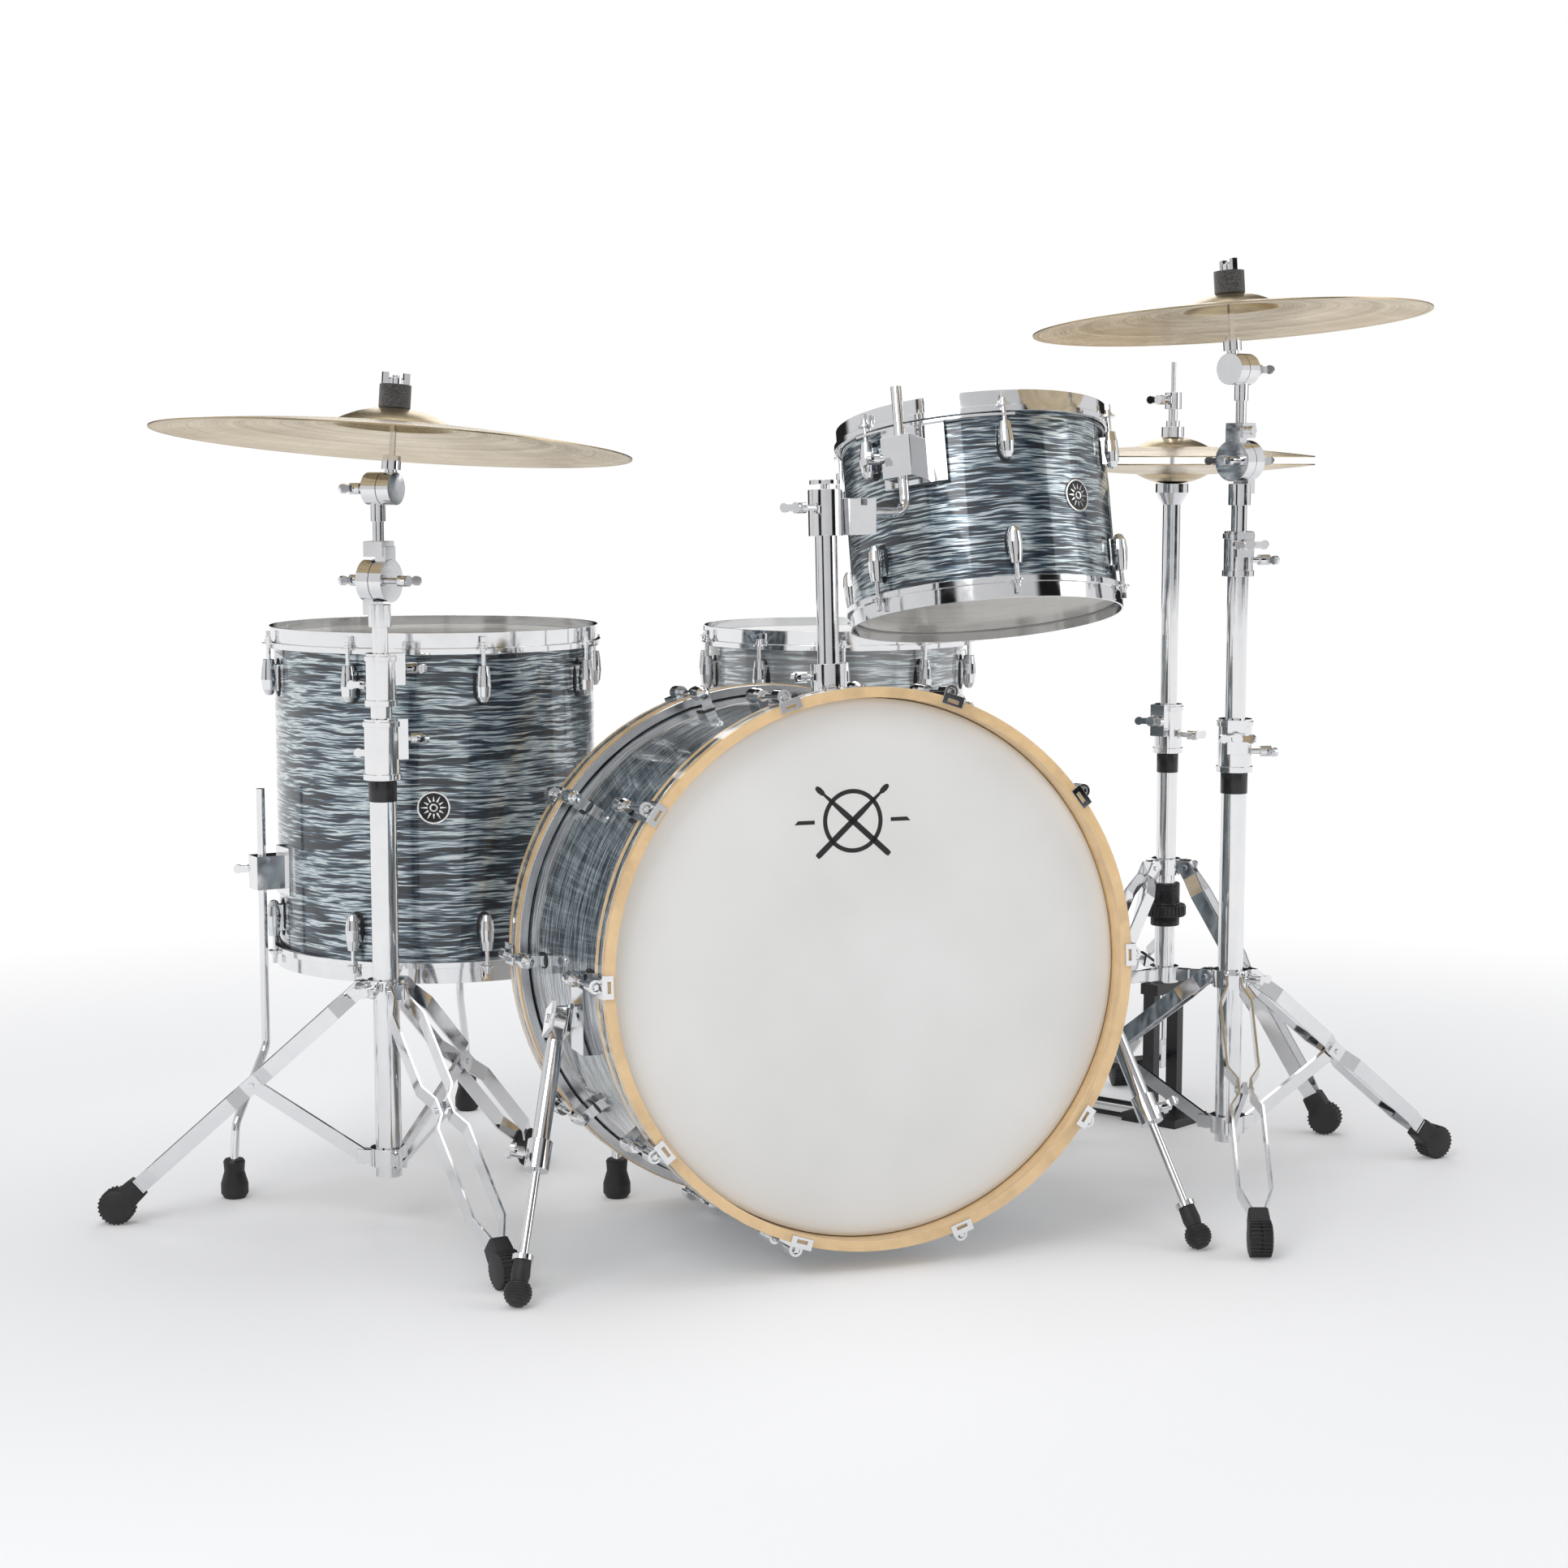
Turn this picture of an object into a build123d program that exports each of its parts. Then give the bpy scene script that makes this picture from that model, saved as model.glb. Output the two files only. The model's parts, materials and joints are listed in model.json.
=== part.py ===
"""Four-piece acoustic drum kit with cymbal stands and hi-hat.

Millimetres, +Z up. The kit is laid out with the bass drum's centre over X = Y = 0, its
front head facing -Y and the drummer sitting at +Y. At the end every piece is moved so that
the origin is on the floor under the centre of the kit's bounding box.
"""
from build123d import *
import os
from math import atan2, cos, degrees, hypot, radians, sin

INCH = 25.4

# ---------------------------------------------------------------- driving dimensions
# Shell sizes: nominal diameter over the wrap, depth between bearing edges.
BASS_DIAMETER, BASS_DEPTH = 24 * INCH, 14 * INCH
TOM_DIAMETER, TOM_DEPTH = 13 * INCH, 9 * INCH
FLOOR_DIAMETER, FLOOR_DEPTH = 16 * INCH, 16 * INCH
SNARE_DIAMETER, SNARE_DEPTH = 14 * INCH, 6.5 * INCH
SHELL_WALL = 6.4
BASS_WALL = 8.0
WRAP = 0.6
WRAP_MARGIN = 4.0          # bare shell left below each bearing edge
HEAD_FILM = 0.8

# Metal hoops of the toms and snare: straight wall standing above the head.
HOOP_STAND = 12.0          # hoop edge above the bearing edge
HOOP_DROP = 14.0           # hoop lip below the bearing edge
HOOP_GAP = 3.1             # shell to hoop wall
HOOP_WALL = 2.3
FLANGE_DROP = 9.0          # underside of the flange below the bearing edge
LIP_OUT = 9.0              # shell to outside of the lip
FLESH_HEIGHT = 4.8

# Tension rods and lugs
ROD_R = 2.8
ROD_HOLE = 0.3             # radial clearance of a rod in its ear, claw or lug
ROD_OFFSET = 12.0          # rod axis outside a tom or snare shell
LUG_R, LUG_LENGTH = 9.5, 46.0
LUG_DROP = 28.0            # rod entry of a lug below the bearing edge
EAR_R = 8.0

# Bass drum hoops, claws and place
BASS_TILT = 3.5            # front raised
BASS_HOOP_R = BASS_DIAMETER / 2 + 14.0
BASS_HOOP_WALL, BASS_HOOP_DEPTH = 12.0, 38.0
BASS_HOOP_STAND = 24.7     # hoop edge beyond the bearing edge
BASS_ROD_OFFSET = 7.5      # rod axis outside the wooden hoop
BASS_LUG_DROP = 52.0
BASS_LUG_COUNT, BASS_LUG_START = 10, 18.0
CLAW_WIDTH, CLAW_WALL, CLAW_BOSS_R = 26.0, 4.0, 8.0

# Spurs: pivot and foot seen from above, with the bass drum's centre at the origin
SPUR_PIVOT_Y, SPUR_PIVOT_OUT, SPUR_PIVOT_Z = -75.0, 31.0, 285.0
SPUR_FEET = {"left": (-424.0, -217.0), "right": (382.0, -258.0)}
SPUR_TUBE_R, SPUR_ROD_R, SPUR_BALL_R = 10.0, 5.0, 16.0
SPUR_PIN_R, PIN_FIT = 5.0, 0.05
SPUR_TUBE_SHARE = 0.56     # part of the spur's length covered by its tube

# Tom holder
POST_Y, POST_R = -70.0, 12.7
POST_INSIDE, POST_TOP_Z = 90.0, 862.0
MOUNT_TOP_Z = 678.0
ARM_R, ARM_Z, ARM_BEND = 6.35, 850.0, 22.0
FIT = 0.3                  # radial clearance between a sliding tube and its bore

# Places of the drums and stands on the floor
TOM_CENTRE = (289.0, 178.0, 836.0)
TOM_TILT = 12.7            # top leans towards the drummer
TOM_LUG_COUNT, TOM_LUG_START = 6, -101.1
BRACKET_ANGLE, BRACKET_R = -139.1, TOM_DIAMETER / 2 + 39.9
BRACKET_LOW, BRACKET_HIGH = 25.0, 75.0
FLOOR_PLACE, FLOOR_TOP_Z = (-342.0, 469.0), 704.0
FLOOR_LUG_COUNT, FLOOR_LUG_START = 8, -87.6
FLOOR_LEG_ANGLES = (-170.1, -50.1, 69.9)
FLOOR_LEG_TURNS = (36.0, -34.0, 0.0)
FLOOR_LEG_R, FLOOR_LEG_OUT, FLOOR_LEG_TOP = 5.25, 35.0, 505.0
FLOOR_BRACKET_Z, FLOOR_BRACKET_HEIGHT = 400.0, 60.0
SNARE_PLACE, SNARE_TOP_Z = (262.0, 605.0), 685.0
SNARE_LUG_COUNT, SNARE_LUG_START = 10, 0.0

# Stands: place, tripod and telescoping heights
BAR, BAR_WIDTH, BRACE_WIDTH, BRACE = 3.0, 19.0, 16.0, 6.0
BRACE_SHARE = 0.47         # brace pin along the leg, from the hub
FOOT_R, FOOT_WIDTH = 22.0, 27.0
HUB_EAR, PIVOT_OUT, PIN_R = 7.0, 15.0, 3.5
BASE_TUBE_R, TUBE_WALL = 15.875, 1.6
MID_TUBE_R = 0.8 * BASE_TUBE_R
TOP_TUBE_R, BOOM_R = MID_TUBE_R - 3.2, MID_TUBE_R / 2
STANDS = {
    "ride": dict(at=(-476.0, 180.0), feet=(159.5, -79.7, 43.0), reach=328.0, hub=288.0,
                 collar=84.0, clamp=(538.0, 610.0), upper=(625.0, 687.0), joint=772.0,
                 tilter=879.0, face=-45.0),
    "crash": dict(at=(558.0, -3.0), feet=(-112.0, 8.0, 128.0), reach=335.0, hub=268.0,
                  collar=82.0, clamp=(528.0, 594.0), upper=(770.0, 825.0), joint=911.0,
                  tilter=1022.0, face=-155.0),
}
CYMBALS = {
    "ride": dict(diameter=22 * INCH, height=41.0, bell=72.0, top=972.0, lean=(0.084, 0.053)),
    "crash": dict(diameter=19 * INCH, height=35.0, bell=60.0, top=1113.0, lean=(-0.034, 0.078)),
}
CYMBAL_WALL, CYMBAL_HOLE = 1.6, 6.2
BELL_FALL = 1.2            # room for the curve of a bell over the rim of its felt
JOINT_R, JOINT_HALF = 25.0, 16.0
TILTER_R, TILTER_SIDE = 19.0, 17.0

# Hi-hat
HAT_AT, HAT_FEET, HAT_REACH = (658.0, 367.0), (-42.0, 78.0, 198.0), 228.0
HAT_HUB, HAT_COLLAR = 357.0, 207.0
HAT_CLAMP = (514.0, 581.0)
HAT_SEAT_Z, HAT_DIAMETER, HAT_HEIGHT, HAT_BELL = 876.0, 15 * INCH, 25.0, 48.0
HAT_GAP = 9.0              # open gap between the two edges
HAT_TUBE_R, HAT_UPPER_R, HAT_ROD_R, HAT_ROD_TOP = 13.75, 12.0, 3.0, 1043.0
PEDAL_ANGLE, PEDAL_LENGTH, PEDAL_WIDTH = 119.0, 300.0, 92.0
PEDAL_HEEL_Z, PEDAL_TOE_Z = 20.0, 84.0

# Snare stand
SNARE_STAND_FEET, SNARE_STAND_REACH = (-60.0, 60.0, 180.0), 190.0
SNARE_STAND_HUB, SNARE_STAND_COLLAR, SNARE_STAND_TOP = 215.0, 70.0, 330.0

nodes = {}
pivots = {}


# ---------------------------------------------------------------- helpers
def add(name, *shapes):
    """Append the solids of shapes to a node."""
    solids = nodes.setdefault(name, [])
    for shape in shapes:
        solids.extend(shape.solids())


def disc(radius, low, high):
    return Pos(0, 0, (low + high) / 2) * Cylinder(radius, high - low)


def ring(outer, inner, low, high):
    return disc(outer, low, high) - disc(inner, low - 1, high + 1)


def block(x, y, z):
    """Box between the two limits given on each axis."""
    size = (x[1] - x[0], y[1] - y[0], z[1] - z[0])
    centre = ((x[0] + x[1]) / 2, (y[0] + y[1]) / 2, (z[0] + z[1]) / 2)
    return Pos(*centre) * Box(*size)


def lathe(*points):
    """Solid of revolution about Z from (radius, height) points."""
    outline = Plane.XZ * make_face(Polyline(*points, close=True))
    return revolve(outline, Axis.Z)


def rod(start, end, radius):
    line = Vector(*end) - Vector(*start)
    base = Plane(origin=start, z_dir=line)
    return extrude(base * Circle(radius), line.length)


def towards(origin, direction, face=(0, 0, 1)):
    """Frame with X along direction and Z as near to face as it can be."""
    x = Vector(*direction).normalized()
    z = (Vector(*face) - x * Vector(*face).dot(x)).normalized()
    return Plane(origin=origin, x_dir=x, z_dir=z).location


def polar(radius, angle, z=0.0):
    return (radius * cos(radians(angle)), radius * sin(radians(angle)), z)


def wing_bolt(length, span=40.0):
    """Wing bolt along +X: shaft, hub and two swept wings across Y."""
    hub = Pos(length, 0, 0) * Rot(0, 90, 0) * Cylinder(6.5, 14)
    shaft = rod((0, 0, 0), (length, 0, 0), 3.5)
    blade = Box(0.4 * span, 5, 8) + Pos(0.2 * span - 1, 0, 0) * Rot(90, 0, 0) * Cylinder(5.5, 5)
    wing = Pos(length + 5, 0.22 * span + 2, 0) * Rot(0, 0, 65) * blade
    other = Pos(length + 5, -0.22 * span - 2, 0) * Rot(0, 0, -65) * blade
    return shaft + hub + wing + other


# ---------------------------------------------------------------- drums
def lug(shell_r, rod_r):
    """Teardrop lug on a shell at +X, its rod entering at z = 0 and its body below."""
    profile = [(0, 0), (LUG_R * 0.72, 0), (LUG_R * 0.9, -0.25 * LUG_LENGTH),
               (LUG_R, -0.55 * LUG_LENGTH), (LUG_R * 0.86, -0.82 * LUG_LENGTH),
               (LUG_R * 0.5, -0.96 * LUG_LENGTH), (0, -LUG_LENGTH)]
    body = Pos(rod_r, 0, 0) * lathe(*profile)
    foot = block((shell_r - 4, rod_r), (-6.5, 6.5), (-0.86 * LUG_LENGTH, -0.14 * LUG_LENGTH))
    hole = Pos(rod_r, 0, 0) * disc(ROD_R + ROD_HOLE, -0.62 * LUG_LENGTH, 1)
    return body + foot - disc(shell_r, -2 * LUG_LENGTH, LUG_LENGTH) - hole


def shell(radius, depth, wall):
    """Wooden shell with its bearing edges cut at 45 degrees on the inside."""
    edge = depth / 2
    outer, inner = radius - WRAP, radius - WRAP - wall
    peak = outer - 2
    drop = peak - inner
    return lathe((inner, -edge + drop), (peak, -edge), (outer, -edge + 2), (outer, edge - 2),
                 (peak, edge), (inner, edge - drop))


def head(radius, depth, flesh_in, flesh_out, flesh_top):
    """Drum head on the upper bearing edge: film, collar and flesh hoop in one."""
    edge = depth / 2
    top = edge + HEAD_FILM
    return lathe((0, edge), (radius + 0.4, edge), (radius + 0.4, flesh_top - FLESH_HEIGHT),
                 (flesh_out, flesh_top - FLESH_HEIGHT), (flesh_out, flesh_top),
                 (flesh_in + HEAD_FILM, flesh_top), (flesh_in + HEAD_FILM, top), (0, top))


def metal_hoop(radius, depth, count, start):
    """Straight-walled hoop on the upper edge with an ear for each tension rod."""
    edge = depth / 2
    inner, outer, lip = radius + HOOP_GAP, radius + HOOP_GAP + HOOP_WALL, radius + LIP_OUT
    flange = edge - FLANGE_DROP
    hoop = lathe((inner, flange), (inner, edge + HOOP_STAND), (outer, edge + HOOP_STAND),
                 (outer, flange + HOOP_WALL), (lip, flange + HOOP_WALL), (lip, edge - HOOP_DROP),
                 (lip - HOOP_WALL, edge - HOOP_DROP), (lip - HOOP_WALL, flange))
    centre = radius + ROD_OFFSET
    ear = disc(EAR_R, flange, flange + HOOP_WALL)
    ear = Pos(centre, 0, 0) * ear + block((outer, centre), (-EAR_R, EAR_R),
                                          (flange, flange + HOOP_WALL))
    hole = Pos(centre, 0, 0) * disc(ROD_R + ROD_HOLE, flange - HOOP_DROP, edge)
    for a in range(count):
        turn = Rot(0, 0, start + a * 360 / count)
        hoop = hoop + turn * ear - turn * hole
    return hoop


def tension_rod(radius, depth):
    """Rod at +X from its square head above the hoop down into the lug."""
    edge = depth / 2
    seat = edge - FLANGE_DROP + HOOP_WALL
    foot = edge - LUG_DROP - 0.6 * LUG_LENGTH
    body = disc(ROD_R, foot, seat + 1) + disc(5.0, seat, seat + 3) + disc(3.6, seat + 3, seat + 7)
    body = body + Pos(0, 0, seat + 10.5) * Box(5.5, 5.5, 7)
    return Pos(radius + ROD_OFFSET, 0, 0) * body


def both_ends(shape):
    return [shape, Rot(180, 0, 0) * shape]


def metal_drum(diameter, depth, count, start, lower_start=None):
    """The pieces of a tom or snare about its own axis and centre."""
    radius, edge = diameter / 2, depth / 2
    lower_start = start if lower_start is None else lower_start
    flesh_top = edge - FLANGE_DROP
    upper_head = head(radius, depth, radius + 0.4, radius + HOOP_GAP + HOOP_WALL, flesh_top)
    body_lug = Pos(0, 0, edge - LUG_DROP) * lug(radius, radius + ROD_OFFSET)
    one_rod = tension_rod(radius, depth)
    upper_lugs, lower_lugs = [], []
    upper_rods, lower_rods = [], []
    for turned, lugs, rods, first in ((Rot(0, 0, 0), upper_lugs, upper_rods, start),
                                      (Rot(180, 0, 0), lower_lugs, lower_rods, lower_start)):
        sign = 1 if lugs is upper_lugs else -1
        for a in range(count):
            angle = sign * (first + a * 360 / count)
            lugs.append(turned * (Rot(0, 0, angle) * body_lug))
            rods.append(turned * (Rot(0, 0, angle) * one_rod))
    return {
        "shell": [shell(radius, depth, SHELL_WALL)],
        "wrap": [ring(radius, radius - WRAP, WRAP_MARGIN - edge, edge - WRAP_MARGIN)],
        "hoops": [metal_hoop(radius, depth, count, start),
                  Rot(180, 0, 0) * metal_hoop(radius, depth, count, -lower_start)],
        "heads": both_ends(upper_head),
        "lugs": upper_lugs + lower_lugs,
        "rods": upper_rods + lower_rods,
    }


# ---------------------------------------------------------------- bass drum
BASS_R = BASS_DIAMETER / 2
BASS_END = BASS_DEPTH / 2 + BASS_HOOP_STAND
BASS_ROD_R = BASS_HOOP_R + BASS_ROD_OFFSET
BASS_Z = BASS_HOOP_R * cos(radians(BASS_TILT)) + BASS_END * sin(radians(BASS_TILT))
BASS_PLACE = Pos(0, 0, BASS_Z) * Rot(90 - BASS_TILT, 0, 0)   # local +Z is the front, +Y is up


def claw():
    """Die-cast claw over the front hoop, centred on the local +Y direction."""
    back, front = BASS_END - BASS_HOOP_DEPTH, BASS_END
    top = BASS_HOOP_R + CLAW_WALL
    plate = block((-CLAW_WIDTH / 2, CLAW_WIDTH / 2), (BASS_HOOP_R - 9, top),
                  (back + 6, front + CLAW_WALL))
    window = block((-CLAW_WIDTH / 4, CLAW_WIDTH / 4), (BASS_HOOP_R - 6, top - CLAW_WALL - 2),
                   (front - 1, front + CLAW_WALL + 1))
    boss = Pos(0, BASS_ROD_R, 0) * disc(CLAW_BOSS_R, back + 8, front - 8)
    hole = Pos(0, BASS_ROD_R, 0) * disc(ROD_R + ROD_HOLE, back, front)
    cap = Pos(0, BASS_ROD_R, 0) * disc(CLAW_BOSS_R - 3, front - 15, front)
    hoop_space = disc(BASS_HOOP_R, back - 5, front)
    return plate + boss - hoop_space - window - hole - cap


def bass_drum():
    edge = BASS_DEPTH / 2
    post_hole = Pos(0, 0, -POST_Y) * Rot(-90, 0, 0) * disc(POST_R + 1.5, 0, BASS_R + 20)
    add("bass_shell", BASS_PLACE * (shell(BASS_R, BASS_DEPTH, BASS_WALL) - post_hole))
    skin = ring(BASS_R, BASS_R - WRAP, WRAP_MARGIN - edge, edge - WRAP_MARGIN)
    add("bass_wrap", BASS_PLACE * (skin - post_hole))
    back = BASS_END - BASS_HOOP_DEPTH
    hoop = ring(BASS_HOOP_R, BASS_HOOP_R - BASS_HOOP_WALL, back, BASS_END)
    front_head = head(BASS_R, BASS_DEPTH, BASS_R + 0.4, BASS_HOOP_R - 2, back)
    one_lug = Pos(0, 0, edge - BASS_LUG_DROP) * Rot(0, 0, 90) * lug(BASS_R, BASS_ROD_R)
    one_rod = disc(ROD_R, edge - BASS_LUG_DROP - 0.6 * LUG_LENGTH, BASS_END - 12)
    one_rod = one_rod + disc(4.6, BASS_END - 15, BASS_END - 11)
    one_rod = Pos(0, BASS_ROD_R, 0) * (one_rod + Pos(0, 0, BASS_END - 8) * Box(5.5, 5.5, 6))
    one_claw = claw()
    for end in (Rot(0, 0, 0), Rot(0, 180, 0)):
        add("bass_hoops", BASS_PLACE * end * hoop)
        add("bass_heads", BASS_PLACE * end * front_head)
        for k in range(BASS_LUG_COUNT):
            turn = BASS_PLACE * end * Rot(0, 0, BASS_LUG_START + k * 360 / BASS_LUG_COUNT)
            add("bass_claws", turn * one_claw)
            add("drum_lugs", turn * one_lug)
            add("drum_tension_rods", turn * one_rod)


def spur(side):
    """One spur: bracket on the shell, tube with its lock, sliding rod and rubber foot."""
    sign = -1 if side == "left" else 1
    pivot = Vector(sign * (BASS_R + SPUR_PIVOT_OUT), SPUR_PIVOT_Y, SPUR_PIVOT_Z)
    foot_x, foot_y = SPUR_FEET[side]
    foot = Vector(foot_x, foot_y, SPUR_BALL_R)
    line = (foot - pivot).normalized()
    length = (foot - pivot).length
    tube_end = SPUR_TUBE_SHARE * length
    axis = (Vector(1, 0, 0) - line * line.X).normalized()
    frame = towards(tuple(pivot), tuple(line), tuple(axis))     # X along the spur, Z the hinge
    eye = disc(13.0, -7, 7) + block((0, 30), (-7, 7), (-7, 7))
    tube = rod((26, 0, 0), (tube_end, 0, 0), SPUR_TUBE_R)
    lock = rod((tube_end - 34, 0, 0), (tube_end, 0, 0), SPUR_TUBE_R + 4)
    wing = Pos(tube_end - 17, 0, sign * 10) * Rot(0, -90 * sign, 0) * wing_bolt(14, 30)
    bore = rod((20, 0, 0), (tube_end + 1, 0, 0), SPUR_ROD_R + FIT)
    add(f"spur_{side}_tube", frame * (tube + eye + lock + wing - bore - disc(SPUR_PIN_R + PIN_FIT, -8, 8)))
    inner = rod((tube_end - 110, 0, 0), (length - 12, 0, 0), SPUR_ROD_R)
    nut = rod((length - 42, 0, 0), (length - 36, 0, 0), 12.0)
    add(f"spur_{side}_rod", frame * (inner + nut))
    ball = Pos(length, 0, 0) * Sphere(SPUR_BALL_R)
    neck = rod((length - 35, 0, 0), (length, 0, 0), 10.0)
    socket = rod((length - 40, 0, 0), (length - 12, 0, 0), SPUR_ROD_R)
    add(f"spur_{side}_foot", frame * (ball + neck - socket))

    # bracket: plate on the shell, arm, and two cheeks with the hinge pin between them
    cheeks = frame * (block((-17, 17), (-17, 17), (7.5, 12.5)) + block((-17, 17), (-17, 17), (-12.5, -7.5)))
    pin = frame * disc(SPUR_PIN_R, -14.5, 14.5)
    shell_x, pivot_x = sign * BASS_R, sign * (BASS_R + SPUR_PIVOT_OUT)
    plate = block(sorted((shell_x - sign * 12, shell_x + sign * 9)), (SPUR_PIVOT_Y - 24, SPUR_PIVOT_Y + 24),
                  (SPUR_PIVOT_Z - 38, SPUR_PIVOT_Z + 38))
    arm = block(sorted((shell_x, pivot_x)), (SPUR_PIVOT_Y + 14, SPUR_PIVOT_Y + 26),
                (SPUR_PIVOT_Z - 12, SPUR_PIVOT_Z + 12))
    space = frame * (disc(16.5, -7.5, 7.5) + block((-1, 70), (-16.5, 16.5), (-7.5, 7.5))
                     + block((18, 80), (-16.5, 16.5), (-16, 16)))
    bracket = cheeks + arm + plate - space - BASS_PLACE * disc(BASS_R, -400, 400) + pin
    add("bass_spur_brackets", bracket)
    pivots[f"spur_{side}"] = (tuple(pivot), tuple(axis), tuple(line))


# ---------------------------------------------------------------- tom holder and rack tom
def tom_holder():
    up = Vector(0, sin(radians(BASS_TILT)), cos(radians(BASS_TILT)))
    base = BASS_PLACE * Pos(0, 0, -POST_Y) * Rot(-90, 0, 0)      # Z along the post, from the drum axis
    origin = base.position
    reach = lambda z: (z - origin.Z) / up.Z
    top, arm_at, mount_top = reach(POST_TOP_Z), reach(ARM_Z), reach(MOUNT_TOP_Z)
    plate = block((-34, 34), (-40, 40), (BASS_R - 12, BASS_R + 7))
    tower = disc(21, BASS_R, mount_top)
    wing = Pos(0, 0, BASS_R + 24) * Rot(0, 0, 160) * Pos(20, 0, 0) * wing_bolt(12)
    mount = plate + tower + wing - disc(POST_R + FIT, 0, mount_top + 5)
    shell_space = Rot(90, 0, 0) * disc(BASS_R, -400, 400)
    add("tom_mount_base", base * (mount - shell_space))
    post = ring(POST_R, POST_R - 2, BASS_R - POST_INSIDE, top)
    add("tom_post", base * post)

    axis_top = origin + up * arm_at
    tom = Pos(*TOM_CENTRE) * Rot(-TOM_TILT, 0, 0)
    arm_line = tom * Pos(*polar(BRACKET_R, BRACKET_ANGLE))
    tom_up = Vector(0, sin(radians(TOM_TILT)), cos(radians(TOM_TILT)))
    drop = (arm_line.position.Z - ARM_Z) / tom_up.Z
    elbow = arm_line.position - tom_up * drop
    flat = Vector(elbow.X - axis_top.X, elbow.Y - axis_top.Y, 0)
    along = flat.normalized()
    start = axis_top + along * 27
    start = Vector(start.X, start.Y, ARM_Z)
    end = elbow + tom_up * (drop + BRACKET_HIGH + 62)
    path = FilletPolyline(start, elbow, end, radius=ARM_BEND)
    arm = sweep(Plane(origin=start, z_dir=along) * Circle(ARM_R), path=path)
    add("tom_arm", arm)

    # tilter: clamp on the post and a ratchet block that holds the arm
    frame = towards((axis_top.X, axis_top.Y, ARM_Z), tuple(along))
    clamp = base * (disc(20, reach(825), reach(878)) - disc(POST_R + FIT, 0, top + 1.5))
    knuckle = frame * (block((20, 70), (-21, 21), (-24, 18)) - rod((24, 0, 0), (80, 0, 0), ARM_R + FIT))
    knuckle = knuckle - base * disc(19.5, 0, top + 40)
    slot = frame * block((40, 52), (-30, 30), (9.5, 30))
    thumb = base * (disc(5, reach(878), reach(886)) + disc(18, reach(884), reach(889)))
    screw = frame * Pos(-18, 0, 8) * Rot(0, 0, 180 - 12) * wing_bolt(24)
    add("tom_tilter", clamp + knuckle - slot + thumb + (screw - base * disc(19.5, 0, top + 10)))
    pivots["tom_post"] = (tuple(axis_top), tuple(up))
    pivots["tom_arm"] = ((start.X, start.Y, ARM_Z), tuple(along))
    pivots["tom_rod"] = (tuple(elbow), tuple(tom_up))
    return tom


def rack_tom(place):
    drum = metal_drum(TOM_DIAMETER, TOM_DEPTH, TOM_LUG_COUNT, TOM_LUG_START)
    for piece, node in (("shell", "tom_shell"), ("wrap", "tom_wrap"), ("hoops", "tom_hoops"),
                        ("heads", "tom_heads"), ("lugs", "tom_lugs"), ("rods", "tom_tension_rods")):
        add(node, *[place * s for s in drum[piece]])
    radius, edge = TOM_DIAMETER / 2, TOM_DEPTH / 2
    band_z = edge - FLANGE_DROP - HOOP_WALL - 10
    band_in, band_out = radius + 7, radius + LIP_OUT + 8
    first, last = TOM_LUG_START - 60 - 4, TOM_LUG_START + 4
    band = ring(band_out, band_in, band_z, band_z + 3) & sector(first, last, 2 * radius)
    rod_holes = [Rot(0, 0, a) * Pos(radius + ROD_OFFSET, 0, 0) * disc(ROD_R + ROD_HOLE, 0, edge)
                 for a in (TOM_LUG_START - 60, TOM_LUG_START)]
    wide = sector(BRACKET_ANGLE - 14, BRACKET_ANGLE + 14, 2 * radius)
    plate = ring(radius + 10, radius + 7, BRACKET_LOW - 3, band_z + 3) & wide
    body = block((radius + 8, BRACKET_R + 15), (-19, 19), (BRACKET_LOW, BRACKET_HIGH))
    bore = Pos(BRACKET_R, 0, 0) * disc(ARM_R + FIT, -50, 100)
    wing = Pos(BRACKET_R + 8, -12, (BRACKET_LOW + BRACKET_HIGH) / 2) * Rot(0, 0, -50) * wing_bolt(20)
    body = body + (wing - disc(radius + 8, -100, 100)) - bore
    bracket = band + plate + Rot(0, 0, BRACKET_ANGLE) * body
    for hole in rod_holes:
        bracket = bracket - hole
    add("tom_bracket", place * bracket)


def sector(first, last, reach):
    """Wedge between two angles, used to keep part of a ring."""
    a, b = radians(first), radians(last)
    points = [(0, 0), (2 * reach * cos(a), 2 * reach * sin(a)),
              (2.4 * reach * cos((a + b) / 2), 2.4 * reach * sin((a + b) / 2)),
              (2 * reach * cos(b), 2 * reach * sin(b))]
    return extrude(make_face(Polyline(*points, close=True)), 400, both=True)


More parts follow.
